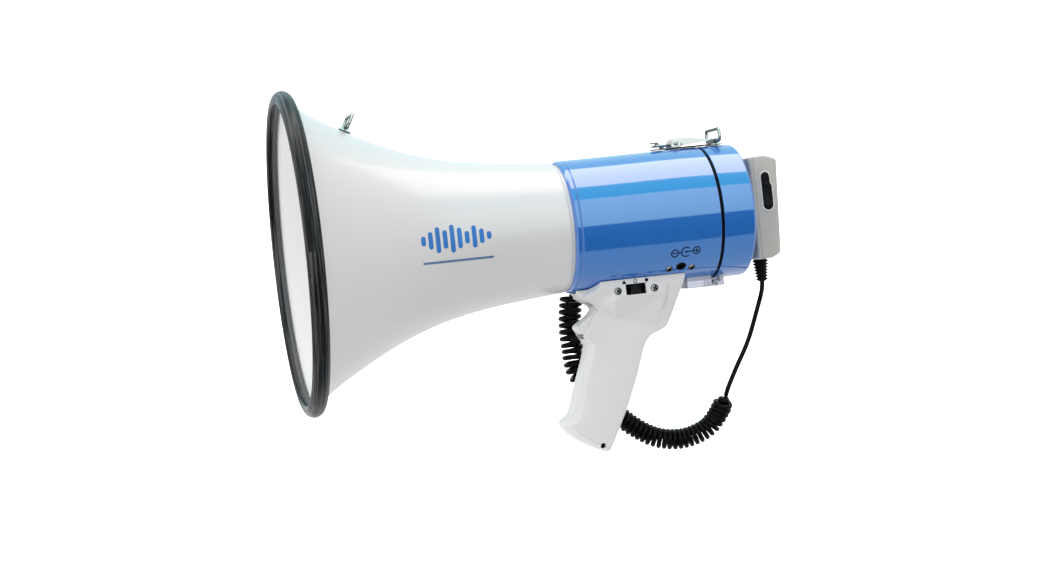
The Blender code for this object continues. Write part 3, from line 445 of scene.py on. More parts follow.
def slab_shape(outline, y0, y1, rounding=0.0, steps=3):
    """A flat (x, z) outline, from y0 to y1, with its rims rounded."""
    shape = bmesh.new()
    low = [shape.verts.new((x * MM, y0 * MM, z * MM)) for x, z in outline]
    high = [shape.verts.new((x * MM, y1 * MM, z * MM)) for x, z in outline]
    count = len(outline)
    caps = shape.faces.new(low), shape.faces.new(high[::-1])
    for i in range(count):
        k = (i + 1) % count
        shape.faces.new((low[i], high[i], high[k], low[k]))
    if rounding > 0:
        rim = list(caps[0].edges) + list(caps[1].edges)
        bmesh.ops.bevel(shape, geom=rim, offset=rounding * MM, segments=steps, profile=0.5,
                        affect="EDGES", clamp_overlap=True)
    bmesh.ops.triangulate(shape, faces=[f for f in shape.faces if len(f.verts) > 4])
    return shape


def rod_shape(start, end, radius, segments=32):
    start, end = Vector(start), Vector(end)
    shape = bmesh.new()
    bmesh.ops.create_cone(shape, cap_ends=True, segments=segments, radius1=radius * MM,
                          radius2=radius * MM, depth=(end - start).length * MM)
    turn = Vector((0, 0, 1)).rotation_difference((end - start).normalized())
    return moved(shape, Matrix.Translation((start + end) / 2 * MM) @ turn.to_matrix().to_4x4())


def pin_shape(x, z, y, radius, segments=32):
    """A rod along Y, from y[0] to y[1]."""
    return rod_shape((x, y[0], z), (x, y[1], z), radius, segments)


# ---------------------------------------------------------------- objects
def shade(mesh, sharp):
    mesh.shade_smooth()
    mesh.set_sharp_from_angle(angle=math.radians(sharp))


def link_mesh(name, shape):
    mesh = bpy.data.meshes.new(name)
    shape.to_mesh(mesh)
    shape.free()
    part = bpy.data.objects.new(name, mesh)
    bpy.context.scene.collection.objects.link(part)
    return part


def attach(part, body, replaces=None):
    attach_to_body(part, body)
    if replaces:
        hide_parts(replaces)


def add(name, shape, look_key=None, body=None, replaces=None, sharp=32):
    bmesh.ops.recalc_face_normals(shape, faces=shape.faces[:])
    if shape.calc_volume(signed=True) < 0:
        bmesh.ops.reverse_faces(shape, faces=shape.faces[:])
    part = link_mesh(name, shape)
    shade(part.data, sharp)
    if look_key:
        part.data.materials.append(LOOKS[look_key])
    if body:
        attach(part, body, replaces)
    return part


def lathe(name, profile, look_key, body=None, replaces=None, segments=160, matrix=None, sharp=32):
    return add(name, lathe_shape(profile, segments, matrix), look_key, body, replaces, sharp)


def tube(name, points, radius, look_key, body=None, replaces=None, sides=12, cyclic=False):
    shape = tube_shape(points, radius, sides, cyclic)
    return add(name, shape, look_key, body, replaces, sharp=50)


def box(name, x, y, z, look_key, body=None, replaces=None, rounding=0.5):
    return add(name, box_shape(x, y, z, rounding), look_key, body, replaces, sharp=40)


def slab(name, outline, y0, y1, look_key, body=None, replaces=None, rounding=0.0, steps=3):
    shape = slab_shape(outline, y0, y1, rounding, steps)
    return add(name, shape, look_key, body, replaces, sharp=40)


def bake(part, sharp=32):
    """Make the object's modifiers into its mesh."""
    bpy.context.view_layer.update()
    depsgraph = bpy.context.evaluated_depsgraph_get()
    mesh = bpy.data.meshes.new_from_object(part.evaluated_get(depsgraph))
    part.modifiers.clear()
    part.data = mesh
    shade(mesh, sharp)


def carve(part, shapes, operation="DIFFERENCE", sharp=32):
    """Cut the shapes from the part, or join them to it, one after another."""
    tools = [add("tool", shape) for shape in shapes]
    for tool in tools:
        boolean = part.modifiers.new("b", "BOOLEAN")
        boolean.operation = operation
        boolean.solver = "MANIFOLD"
        boolean.object = tool
    bake(part, sharp)
    for tool in tools:
        bpy.data.objects.remove(tool, do_unlink=True)
    mesh = part.data                    # a tool leaves an empty slot behind
    slots = list(mesh.materials)
    kept = [m for m in slots if m]
    if len(kept) != len(slots):
        found = [slots[f.material_index] for f in mesh.polygons]
        mesh.materials.clear()
        for material in kept:
            mesh.materials.append(material)
        for face, material in zip(mesh.polygons, found):
            face.material_index = kept.index(material) if material else 0
    return part


def join(part, shapes):
    return carve(part, shapes, "UNION")


def repaint(part, look_keys, pick):
    """Add looks after the first; pick(face) gives a face's slot number, or 0 to leave it."""
    for key in look_keys:
        part.data.materials.append(LOOKS[key])
    for face in part.data.polygons:
        slot = pick(face)
        if slot:
            face.material_index = slot


# ---------------------------------------------------------------- bell, rim and inner horn
# outside of the horn: x, radius
HORN = [(12.5, 104.2), (20, 98.6), (30, 92.3), (45, 83.9), (60, 76.1), (75, 69.3), (90, 63.6),
        (105, 59.0), (120, 55.6), (135, 53.0), (150, 51.1), (165, 49.6), (180, 48.2),
        (193.5, 46.9)]
HORN_CURVE = smooth_profile(HORN, 5)
HORN_WALL = 2.2
RIM_X, RIM_MIDDLE, RIM_RADIUS = 6.1, 108.95, 6.05       # the bead's round section
RIM_START, RIM_END = 23, 196                            # degrees around that section
RIDGE_DEPTH, RIDGE_PITCH = 0.20, 15.8                   # millimetres, degrees


def build_bell():
    inner = []
    for i, (x, radius) in enumerate(HORN_CURVE):
        before = HORN_CURVE[max(0, i - 1)]
        after = HORN_CURVE[min(len(HORN_CURVE) - 1, i + 1)]
        dx, dr = after[0] - before[0], after[1] - before[1]
        length = math.hypot(dx, dr)
        inner.append((x + dr / length * HORN_WALL, radius - dx / length * HORN_WALL))
    flange = fillet([(2.6, 110.9), (7.6, 110.9, 0.8), (9.2, 107.0, 0.8), (12.5, 104.2)], 4)
    outer = flange[:-1] + HORN_CURVE + [(194.6, 45.6), (206.0, 45.1)]
    mouth = fillet([(2.6, 108.9), (6.6, 108.9, 1.5), (inner[0][0] + 0.2, inner[0][1] + 0.4)], 4)
    lathe("bell_shell", outer[::-1] + mouth[:-1] + inner + [(206.0, 43.1)], "white", "main",
          "bell", segments=224)


def build_rim():
    """The bead: a round section with fine ridges run around it, and a lip inside the mouth."""
    section = []
    for degrees in np.linspace(RIM_START, RIM_END, 150):
        a = math.radians(degrees)
        along = degrees - RIM_START
        fade = min(1.0, along / 10, max(0, (188 - degrees) / 12))
        ridge = RIDGE_DEPTH * (0.5 - 0.5 * math.cos(2 * math.pi * along / RIDGE_PITCH)) * fade
        section.append((RIM_X + (RIM_RADIUS - ridge) * math.cos(a),
                        RIM_MIDDLE + (RIM_RADIUS - ridge) * math.sin(a)))
    lip = fillet([section[-1], (1.0, 106.2, 0.8), (4.0, 105.9, 0.3), (4.3, 106.25, 0.2),
                  (4.6, 105.9, 0.2), (7.3, 105.7, 0.3), (7.4, 106.6)], 4)[1:]
    seat = [(6.1, 108.4), (2.3, 108.4), (2.3, 111.4)]
    bead = lathe("rim_bead", [(11.6, 111.4)] + section + lip + seat, "rubber", "main",
                 "rim_guard", segments=256, sharp=50)

    def on_lip(face):
        x, y, z = face.center / MM
        return x > 4.2 and math.hypot(y, z) < 106.8

    # the lip inside the mouth takes the lighter grey copy: painted shade
    repaint(bead, ["lip"], on_lip)


def build_inner_horn():
    lathe("throat_horn", fillet([
        (207.6, 23.9, 0.6), (205.3, 23.9, 0.6), (205.3, 13.2, 0.8), (200, 11.5, 2),
        (130, 14.4, 9), (70.2, 17.4, 0.9), (70.2, 15.8, 0.6), (130, 12.8, 9), (200, 9.8, 2),
        (207.6, 9.8, 0.3)]), "white", "main", "throat_tube", segments=96)
    outside = smooth_profile([(149.9, 33.9), (120, 32.9), (90, 29.9), (65, 24.4), (50, 16.9),
                              (43.2, 9.0), (41.1, 0.0)], 6)
    # the wall is thickest at the closed end
    inside = [(x + 2.3 * (1 - min(1, radius / 34) ** 4),
               radius - 1.8 * min(1, radius / 30.0) - 0.1) for x, radius in outside[:-1]]
    bowl = lathe("reflector_bowl", [(43.6, 0.0)] + inside[::-1] + outside, "white", segments=96)
    collar = lathe_shape([(139.8, 20.1), (120.2, 20.1), (120.2, 17.7), (139.8, 17.7)], 96)
    fins = [moved(box_shape((122.2, 137.8), (-1.2, 1.2), (18.8, 32.6), 0.4, steps=2),
                  Matrix.Rotation(math.radians(90 + 120 * k), 4, "X")) for k in range(3)]
    attach(join(bowl, [collar] + fins), "main", "reflector")


# ---------------------------------------------------------------- drum and cover
JACK_FOOT = Vector((275.2, 0, 0))                       # on the drum's axis
JACK_DIRECTION = Vector((0, -32.0, -36.7)).normalized()
INLET_SCREWS = [                                        # foot on the axis, direction outwards
    (Vector((x, 0, 0)), Vector((0, -math.sqrt(DRUM_RADIUS ** 2 - z ** 2), z)).normalized())
    for x, z in ((266.5, -37.6), (283.4, -37.9))]


def build_drum():
    drum = lathe("drum_shell", fillet([
        (303.75, DRUM_RADIUS, 0.35), (285, DRUM_RADIUS, 0), (272, DRUM_RADIUS, 4),
        (232, 48.12, 8), (202.2, 47.95, 0.3), (201.5, 47.35, 0.25), (200.7, 47.95, 0.3),
        (198.4, 47.9, 0.5), (196.65, 46.7, 0.4), (196.55, 45.75, 0.2), (207.9, 45.75, 0.2),
        (207.9, 9.1, 0.3), (210.4, 9.1, 0.3), (210.4, 46.1, 1.2), (303.75, 46.1, 0.3)]),
        "blue", segments=224)

    def bore(foot, direction, start, radius, segments):
        return rod_shape(foot + direction * start, foot + direction * 52, radius, segments)

    holes = [bore(JACK_FOOT, JACK_DIRECTION, 42, 3.85, 40)]
    holes += [bore(foot, direction, 42, 1.35, 20) for foot, direction in INLET_SCREWS]
    holes += [bore(foot, direction, 47.9, 2.75, 32) for foot, direction in INLET_SCREWS]
    attach(carve(drum, holes), "main", "main_housing")
    lathe("seam_ring", fillet([(305.85, 47.9, 0.3), (304.15, 47.9, 0.3), (304.15, 45.8, 0.2),
                               (305.85, 45.8, 0.2)]), "shadow", "main", "seam_gasket",
          segments=224)


def build_cover():
    def shoulder(x, radius, depth, height, count):
        return [(x + depth * math.sin(a), radius + height * math.cos(a))
                for a in np.linspace(0, math.pi / 2, count)]

    face = [(331.2, 0), (331.2, 30), (331.0, 31.0), (331.0, 32.0), (331.2, 33.0)]
    outer = shoulder(328.0, 41.3, 3.2, 7.0, 26)[::-1]
    edge = fillet([(320, 48.3), (306.25, 48.3, 0.35), (306.25, 45.9, 0.3), (320, 45.7)])[1:-1]
    inner = shoulder(326.3, 39.8, 2.5, 5.9, 14)
    lathe("cover_shell", face + outer + edge + inner + [(328.8, 0)], "blue", "rear_cover",
          "rear_cover", segments=224)


CELL_COUNT = 8
CELL_ENDS_SUM = 586         # the cell's two ends, added; turning one round mirrors it about half
CELL_PROFILE = fillet([     # x, radius, rounding
    (318, 0), (318, 3.4, 0.5), (316.4, 3.5, 0.3), (316.4, 11.6, 0.2), (316.8, 12.2, 0.3),
    (316.6, 13.05, 0.4), (268.1, 13.05, 0.5), (268.4, 11.8, 0.3), (268.3, 0)])


def build_cell(number):
    """A cell with metal ends and a coloured band; every other one is turned round."""
    node = "battery_%d" % number
    low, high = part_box(node)
    y, z = (low.y + high.y) / 2 / MM, (low.z + high.z) / 2 / MM
    flipped = number % 2 == 0
    profile = [(CELL_ENDS_SUM - x if flipped else x, radius) for x, radius in CELL_PROFILE]
    cell = lathe("cell_%d" % number, profile, "sleeve", "main", node, segments=48,
                 matrix=Matrix.Translation((0, y * MM, z * MM)))

    def wrap(face):
        middle = face.center / MM
        if math.hypot(middle.y - y, middle.z - z) < 12.2:
            return 2
        return int((middle.x < 281) != flipped)

    repaint(cell, ["band", "nickel"], wrap)


def build_cells():
    lathe("cell_cup", fillet([
        (299.9, 45.3, 0.3), (265.4, 45.3, 0.8), (265.4, 12.1, 0.4), (266.7, 12.1, 0.3),
        (266.7, 44.1, 1.0), (299.9, 44.1, 0.3)]), "grey", "main", "battery_cup", segments=128)
    lathe("contact_plate", fillet([(328.3, 0), (328.3, 32.8, 0.3), (327.3, 32.8, 0.3),
                                   (327.3, 0)]), "nickel", "rear_cover",
          "battery_contact_plate", segments=96)
    for number in range(1, CELL_COUNT + 1):
        build_cell(number)


def cross_screw(name, seat, direction, radius, height, shank, length, node, turn,
                look_key="screw"):
    """A round-headed screw with a cross cut in its head; the inside of the cross and the rim of
    the head are painted in shade.
    """
    placed = aim(seat, direction)
    screw = lathe(name, fillet([
        (height, 0), (height * 0.96, radius * 0.55, 0.5), (height * 0.5, radius * 0.98, 0.35),
        (0, radius, 0.1), (0, shank, 0.1), (-length, shank, 0.2), (-length - shank, 0)], 4),
        look_key, segments=36, matrix=placed)
    carve(screw, [moved(box_shape((height - 0.7, height + 1), (-0.23 * radius, 0.23 * radius),
                                  (-radius * 0.62, radius * 0.62)),
                        placed @ Matrix.Rotation(angle, 4, "X"))
                  for angle in (turn, turn + math.pi / 2)])
    inverse = placed.inverted()

    # painted shade: the inside of the cross and the outer rim of the head
    def dark(face):
        local = inverse @ face.center / MM
        distance = math.hypot(local.y, local.z)
        in_cross = 0 < local.x < 0.9 * height and distance < 0.66 * radius
        return in_cross or distance > 0.9 * radius

    repaint(screw, ["shadow"], dark)
    attach(screw, "main", node)


def build_inlet():
    lathe("inlet", fillet([
        (39, 0), (39, 3.65, 0.3), (48.55, 3.65, 0.2), (48.75, 3.3, 0.2), (48.7, 2.75, 0.2),
        (41, 2.7, 0.2), (41, 0.9, 0.2), (47, 0.85, 0.4), (47.2, 0)]), "black", "main",
        "dc_jack", segments=48, matrix=aim(JACK_FOOT, JACK_DIRECTION))
    for i, (foot, direction) in enumerate(INLET_SCREWS):
        # the heads lean a little towards the near side
        lean = (direction + Vector((0, -0.5, 0))).normalized()
        cross_screw("inlet_screw_%d" % (i + 1), foot + direction * 48.3, lean, radius=2.45,
                    height=1.25, shank=1.0, length=2.0, node="dc_screw_%d" % (i + 1),
                    turn=0.4 + i)


# ---------------------------------------------------------------- latch
PIVOT_X, PIVOT_Z = 288.2, 52.4          # lever on its base
BAIL_X, BAIL_Z = 292.5, 51.6            # bail in the lever
HOOK_X, HOOK_Z = 273.8, 51.9            # bail in the keeper
# outlines: x, z
KEEPER = [(282.1, 48.9), (271.3, 48.9), (271.3, 49.7), (279.2, 49.7), (275.0, 53.8),
          (271.5, 53.7), (271.2, 54.3), (271.5, 54.75), (275.5, 54.75), (281.1, 49.75),
          (282.1, 49.75)]
EAR = [(284.7, 49.0), (285.0, 53.2), (286.6, 54.7), (289.8, 54.7), (291.4, 53.2), (292.3, 49.0)]
LEVER = [(284.7, 52.2), (285.3, 54.6), (287.4, 56.2), (290.5, 56.5), (296.0, 56.2),
         (312.2, 53.9), (312.9, 53.1), (312.0, 52.3), (297.0, 51.1), (294.2, 50.2),
         (286.6, 50.1), (285.2, 50.9)]
LEVER_HOLLOW = [(280, 46), (280, 53.9), (287.2, 55.2), (296.0, 55.5), (312.4, 53.1), (316, 46)]


def build_latch_base():
    base = box("latch_base_plate", (284.1, 312.9), (-8.9, 8.9), (48.85, 49.55), "steel",
               rounding=0.2)
    join(base, [slab_shape(rounded(EAR, 1.2, 5), s * 6.65, s * 7.55) for s in (-1, 1)])
    carve(base, [box_shape((283.4, 292.5), (-6.45, 6.45), (48.0, 50.2))])

    # painted light and shade: the ears above the plate take the pale lever finish, the plate's
    # long sides the shadow finish
    def lit_ear_or_shaded_side(face):
        middle = face.center / MM
        if middle.z > 50.2:
            return 1
        return 2 if abs(face.normal.y) > 0.8 and abs(middle.y) > 8.0 else 0

    repaint(base, ["lever", "shadow"], lit_ear_or_shaded_side)
    attach(base, "rear_cover", "latch_base")


def build_latch():
    slab("latch_keeper_hook", rounded(KEEPER, 0.3), -3.1, 3.1, "steel", "main", "latch_keeper",
         rounding=0.2, steps=2)
    build_latch_base()
    lever = slab("latch_lever_plate", rounded(LEVER, 1.0, 4), -6.15, 6.15, "lever",
                 rounding=0.45)
    carve(lever, [slab_shape(LEVER_HOLLOW, -5.25, 5.25),
                  pin_shape(PIVOT_X, PIVOT_Z, (-9, 9), 1.15, 24),
                  pin_shape(BAIL_X, BAIL_Z, (-9, 9), 1.0, 24),
                  box_shape((280.0, 296.4), (-5.2, 5.2), (49.0, 58.0))])
    attach(lever, "latch_lever", "latch_lever")
    rivet = fillet([(8.5, 0), (8.35, 1.2, 0.5), (7.75, 1.75, 0.3), (7.75, 1.0, 0.1),
                    (5.05, 1.0, 0.1), (5.05, 0)])
    for i, s in enumerate((-1, 1)):
        lathe("latch_rivet_head_%d" % (i + 1), rivet, "zinc", "rear_cover",
              "latch_rivet_%d" % (i + 1), segments=32,
              matrix=aim((PIVOT_X, 0, PIVOT_Z), (0, s, 0)))
    near_half = [(BAIL_X, -5.9, BAIL_Z), (BAIL_X, -3.9, BAIL_Z),
                 (HOOK_X + 10.6, -3.9, HOOK_Z - 0.2), (HOOK_X + 6.6, -6.1, HOOK_Z),
                 (HOOK_X, -6.1, HOOK_Z)]
    far_half = [(x, -y, z) for x, y, z in near_half[::-1]]
    tube("latch_bail_wire", bend(near_half + far_half, 1.4), 0.78, "nickel", "latch_bail",
         "latch_bail", sides=14)


# ---------------------------------------------------------------- strap loops
LOOP_HALF_WIDTH, LOOP_WIRE = 15.0, 1.28


def build_strap_loop(tag, foot, normal, eye_height, loop_height, body):
    """A clip with an eye, and a wire loop through it. foot and normal are (x, z)."""
    placed = aim((foot[0], 0, foot[1]), Vector((normal[0], 0, normal[1])).normalized())
    clip = add("strap_clip_plate_" + tag,
               moved(box_shape((0.35, 1.4), (-7.9, 7.9), (-4.4, 4.4), 0.3), placed), "nickel")
    web = box_shape((1.0, eye_height), (-5.9, 5.9), (-2.1, 2.1))
    eye = pin_shape(eye_height, 0, (-5.9, 5.9), 2.35, 40)
    join(clip, [moved(web, placed), moved(eye, placed)])
    carve(clip, [moved(pin_shape(eye_height, 0, (-10, 10), 1.7), placed)])
    attach(clip, body, "strap_clip_" + tag)
    corners = [(eye_height, -LOOP_HALF_WIDTH, 0), (eye_height, LOOP_HALF_WIDTH, 0),
               (loop_height, LOOP_HALF_WIDTH, 0), (loop_height, -LOOP_HALF_WIDTH, 0)]
    wire = tube_shape(bend(corners, 2.6, 7, cyclic=True), LOOP_WIRE, 16, cyclic=True)
    node = "strap_loop_" + tag
    add("strap_wire_" + tag, moved(wire, placed), "nickel", node, node, sharp=50)


# ---------------------------------------------------------------- cover hinge
KNUCKLE_RADIUS, HINGE_BORE = 2.25, 1.3


def drum_space():
    """The room the drum takes up, with its clearance."""
    radius = DRUM_RADIUS + DRUM_CLEARANCE
    return lathe_shape([(330, 0), (330, radius), (180, radius), (180, 0)])


def hinge_leaf(tag, x, z, rounding, knuckles, web_x, body):
    """A block fitted to the drum. knuckles: the Y spans of its barrels on the hinge's axis."""
    leaf = box("hinge_block_" + tag, x, (-16.9, 16.9), z, "clear", rounding=rounding)
    barrels = []
    for span in knuckles:
        barrels += [pin_shape(HINGE_X, HINGE_Z, span, KNUCKLE_RADIUS),
                    box_shape(web_x, span, (-53.3, -50.7))]
    join(leaf, barrels)
    carve(leaf, [drum_space(), pin_shape(HINGE_X, HINGE_Z, (-20, 20), HINGE_BORE, 24)])
    attach(leaf, body, "hinge_leaf_" + tag)


def build_hinge():
    hinge_leaf("front", x=(283.1, 301.9), z=(-53.7, -44.6), rounding=1.0,
               knuckles=[(-8.1, 8.1)], web_x=(300, HINGE_X), body="main")
    hinge_leaf("rear", x=(307.9, 311.3), z=(-53.5, -44.6), rounding=0.7,
               knuckles=[(-16.8, -8.65), (8.65, 16.8)], web_x=(HINGE_X, 309),
               body="rear_cover")
    lathe("hinge_wire", fillet([(17.4, 0), (17.4, 1.0, 0.3), (-17.4, 1.0, 0.3), (-17.4, 0)]),
          "zinc", "main", "hinge_pin", segments=24,
          matrix=aim((HINGE_X, 0, HINGE_Z), (0, 1, 0)))


# ---------------------------------------------------------------- grip
# the grip's outline, down the front, along the foot and up the rear:
# x, z, and how far the chamfered sides are drawn in there
GRIP_FRONT = [
    (199.0, -45.0, 0), (203.7, -50.2, 0.5), (208.7, -53.9, 1.0), (213.2, -57.4, 1.2),
    (215.8, -61.3, 0.8), (210.5, -69.2, 0.8), (205.6, -77.3, 0.8), (203.2, -79.2, 1.0),
    (207.5, -86.3, 5.0), (204.7, -95.1, 5.4), (194.8, -120.7, 5.4), (191.6, -130.6, 5.6),
    (188.6, -135.4, 5.8), (182.6, -139.6, 4.2)]
GRIP_BOTTOM = [
    (183.6, -144.2, 4.0), (189.6, -150.8, 3.4), (199.0, -157.4, 3.0), (208.0, -162.4, 2.6),
    (212.6, -164.4, 2.2), (215.4, -163.4, 2.2)]
GRIP_REAR = [
    (220.2, -155.7, 2.4), (232.6, -131.8, 2.4), (241.6, -111.1, 2.6), (247.0, -95.6, 2.4),
    (250.0, -88.6, 2.0), (254.4, -84.0, 1.8), (261.6, -81.4, 1.6), (266.0, -79.4, 1.6),
    (268.6, -75.6, 1.6), (273.2, -63.4, 1.0), (278.4, -46.6, 0), (280.4, -38.0, 0),
    (205.0, -38.0, 0)]
HANDLE_FRONT, HANDLE_REAR = GRIP_FRONT[8:][::-1], GRIP_REAR[:4]     # both upwards
# sections of the saddle under the drum, from its outer faces to its middle: x, z
SADDLE_FACE = [
    (213.4, -47.2), (217.0, -43.0), (217.0, -36), (279.8, -36), (279.6, -43.6),
    (277.4, -49.4), (264.0, -49.2), (263.0, -54.4), (227.4, -54.0), (227.0, -48.8)]
SADDLE_SHOULDER = [
    (212.6, -48.6), (216.0, -43.0), (216.0, -36), (280.2, -36), (279.9, -43.6),
    (277.2, -50.6), (265.6, -51.6), (264.0, -56.2), (226.2, -55.8), (224.8, -50.4)]
SADDLE_MIDDLE = [
    (205.4, -52.4), (209.5, -44.0), (209.5, -36), (280.4, -36), (280.1, -43.6),
    (273.0, -62.0), (268.0, -75.0), (256.0, -80.0), (228.0, -71.0), (216.8, -60.0)]
SADDLE = [(25.4, SADDLE_FACE), (23.8, SADDLE_SHOULDER), (14.2, SADDLE_MIDDLE),
          (8, SADDLE_MIDDLE)]                                       # half width, section
# hollow inside the grip, the opening for the trigger, and the trigger itself: x, z
GRIP_HOLLOW = [
    (222, -46), (216.5, -58), (214, -68), (208.4, -78), (210.4, -86), (209.6, -96),
    (199.8, -121), (196.6, -132.6), (191.8, -141.6), (195, -148.4), (208, -156),
    (213, -156.6), (228, -131), (236.8, -110), (242.6, -93.6), (246, -86), (252.2, -80.4),
    (259.8, -77.8), (263.4, -74.6), (267.6, -63), (272, -46)]
TRIGGER_OPENING = [(224, -54.5), (212.0, -54.0), (190, -70), (196, -79.8), (207.0, -82.2),
                   (217, -79), (226, -64)]
TRIGGER = [(216.2, -59.5), (211.2, -65.3), (204.4, -69.8), (201.2, -71.8), (200.4, -73.6),
           (203.0, -78.2), (205.4, -78.0), (211.5, -74.3), (218.8, -62.9), (222.9, -61.8),
           (223.3, -58.6), (221.0, -57.7), (217.5, -57.5)]


def grip_shape():
    """A chamfered slab, and a saddle that swells from it to hold the drum."""
    table = GRIP_FRONT + GRIP_BOTTOM + GRIP_REAR
    outline = [Vector(row[:2]) for row in table]
    drawn_in = []
    for i, corner in enumerate(outline):
        before = (corner - outline[i - 1]).normalized()
        after = (outline[(i + 1) % len(outline)] - corner).normalized()
        n1, n2 = Vector((-before.y, before.x)), Vector((-after.y, after.x))
        inward = (n1 + n2).normalized() / max(0.6, math.sqrt((1 + n1.dot(n2)) / 2))
        drawn_in.append(corner + inward * table[i][2])
    shape = bmesh.new()

    def loft(sections):
        layers = [[shape.verts.new((x * MM, y * MM, z * MM)) for x, z in section]
                  for y, section in sections]
        for a, b in zip(layers, layers[1:]):
            for i in range(len(a)):
                k = (i + 1) % len(a)
                shape.faces.new((a[i], a[k], b[k], b[i]))
        caps = [shape.faces.new(layers[0][::-1]), shape.faces.new(layers[-1])]
        bmesh.ops.triangulate(shape, faces=caps)

    loft([(-15.0, drawn_in), (-9.8, outline), (9.8, outline), (15.0, drawn_in)])
    loft([(-y, section) for y, section in SADDLE] + SADDLE[::-1])
    return shape


def relaxed(points, edges):
    """Smooth, then half back, so that the form keeps its size."""
    degree = np.bincount(edges.ravel(), minlength=len(points))[:, None]
    for step in range(10):
        total = np.zeros_like(points)
        np.add.at(total, edges[:, 0], points[edges[:, 1]])
        np.add.at(total, edges[:, 1], points[edges[:, 0]])
        points = points + (0.55 if step % 2 == 0 else -0.28) * (total / degree - points)
    return points


def crown(points):
    """Draw in the handle's sides towards its front and rear edges."""
    x, z = points[:, 0] / MM, points[:, 2] / MM
    front, rear = np.array(HANDLE_FRONT), np.array(HANDLE_REAR)
    x_front = np.interp(z, front[:, 1], front[:, 0])
    x_rear = np.interp(z, rear[:, 1], rear[:, 0])
    half = np.maximum(1, (x_rear - x_front) / 2)
    share = np.clip((x - (x_front + x_rear) / 2) / half, -1, 1)
    fade = np.clip((-z - 78) / 22, 0, 1)        # none at the saddle, full on the handle
    points[:, 1] *= 1 - 0.13 * fade * share ** 2


def grip_form():
    """Both halves as one soft form."""
    form = add("grip_form", grip_shape())
    remesh = form.modifiers.new("r", "REMESH")
    remesh.mode = "VOXEL"
    remesh.voxel_size = 0.00078         # metres
    bake(form)
    mesh = form.data
    points = np.zeros(len(mesh.vertices) * 3)
    mesh.vertices.foreach_get("co", points)
    edges = np.zeros(len(mesh.edges) * 2, int)
    mesh.edges.foreach_get("vertices", edges)
    points = relaxed(points.reshape(-1, 3), edges.reshape(-1, 2))
    crown(points)
    mesh.vertices.foreach_set("co", points.ravel())
    mesh.update()
    return form


def grip_half(form, side, sign):
    """One half of the grip; sign is -1 on the near side, 1 on the far side."""
    half = bpy.data.objects.new("grip_shell_" + side, form.data.copy())
    bpy.context.scene.collection.objects.link(half)

    def span(inner, outer):
        return sorted((inner * sign, outer * sign))

    carve(half, [box_shape((150, 300), span(0.15, 40), (-200, 0))], "INTERSECT")
    cuts = [drum_space(), slab_shape(GRIP_HOLLOW, *span(-1.0, 12.2)),
            box_shape((225.6, 262), span(11.0, 22.6), (-54.5, -40)),
            slab_shape(rounded(TRIGGER_OPENING, 1.0), *span(-1.0, 9.3)),
            pin_shape(TRIGGER_X, TRIGGER_Z, (0, 14.1 * sign), 1.25, 20)]
    if sign < 0:
        cuts += [box_shape((234.6, 249.6), (-30, -21.4), (-53.1, -45.4)),
                 pin_shape(FOOT_SCREW_X, FOOT_SCREW_Z, (-20, -10.4), 2.0),
                 pin_shape(FOOT_SCREW_X, FOOT_SCREW_Z, (-20, 2), 1.45, 20)]
        for x, z in SWITCH_SCREWS:
            cuts += [pin_shape(x, z, (-28, -19), 1.4, 20), pin_shape(x, z, (-28, -24.6), 2.85)]
        # the drawn-in flute beside the rear screw
        cuts.append(tube_shape([(266.5, -27.0, -49.0), (266.0, -24.7, -53.5),
                                (264.6, -21.2, -60), (262.4, -18.6, -66)],
                               lambda share: 2.6 - 1.6 * share, sides=20))
    else:
        cuts.append(pin_shape(FOOT_SCREW_X, FOOT_SCREW_Z, (-2, 9.8), 1.45, 20))
    carve(half, cuts, sharp=42)
    half.data.materials.clear()
    half.data.materials.append(LOOKS["grip"])
    attach(half, "main", "grip_" + side)


def build_grip():
    form = grip_form()
    grip_half(form, "left", -1)
    grip_half(form, "right", 1)
    bpy.data.objects.remove(form, do_unlink=True)
    trigger = slab("trigger_lever", rounded(TRIGGER, 0.9, 4), -8.9, 8.9, "grip", rounding=1.3,
                   steps=4)
    carve(trigger, [pin_shape(TRIGGER_X, TRIGGER_Z, (-12, 12), 1.25, 20)])
    attach(trigger, "trigger", "trigger")


def build_switch():
    """The mode switch: a recessed black slider between two screws; and the grip's foot screw."""
    def about(half):
        return (SWITCH_X - half, SWITCH_X + half)

    box("switch_case", about(9.9), (-20.6, -14.0), (-54.5, -48.1), "black", "main",
        "mode_switch_body", rounding=0.3)
    knob = box("switch_knob", about(3.7), (-25.85, -21.1), (-52.3, -46.3), "black",
               rounding=0.35)
    grooves = [SWITCH_X + 1.2 * i for i in range(-2, 3)]
    carve(knob, [box_shape((x - 0.28, x + 0.28), (-27.0, -25.4), (-54, -45)) for x in grooves])
    attach(knob, "mode_switch_slider", "mode_switch_slider")
    for name, x in (("switch_dust_plate", (234.9, 238.2)),
                    ("switch_dust_plate_rear", (246.0, 249.3))):
        box(name, x, (-20.95, -20.65), (-52.8, -46.0), "shadow", "main", rounding=0.1)
    for i, (x, z) in enumerate(SWITCH_SCREWS):
        cross_screw("switch_plate_screw_%d" % (i + 1), (x, -24.7, z), (0, -1, 0), radius=2.5,
                    height=1.5, shank=1.1, length=4.3, node="switch_screw_%d" % (i + 1),
                    turn=0.5 + 0.6 * i)
    # the foot screw takes the black finish: painted shade for a screw deep in its hole
    cross_screw("grip_foot_screw", (FOOT_SCREW_X, -10.9, FOOT_SCREW_Z), (0, -1, 0),
                radius=1.85, height=0.9, shank=1.2, length=15.2, node="grip_screw_bottom",
                turn=0.2, look_key="black")


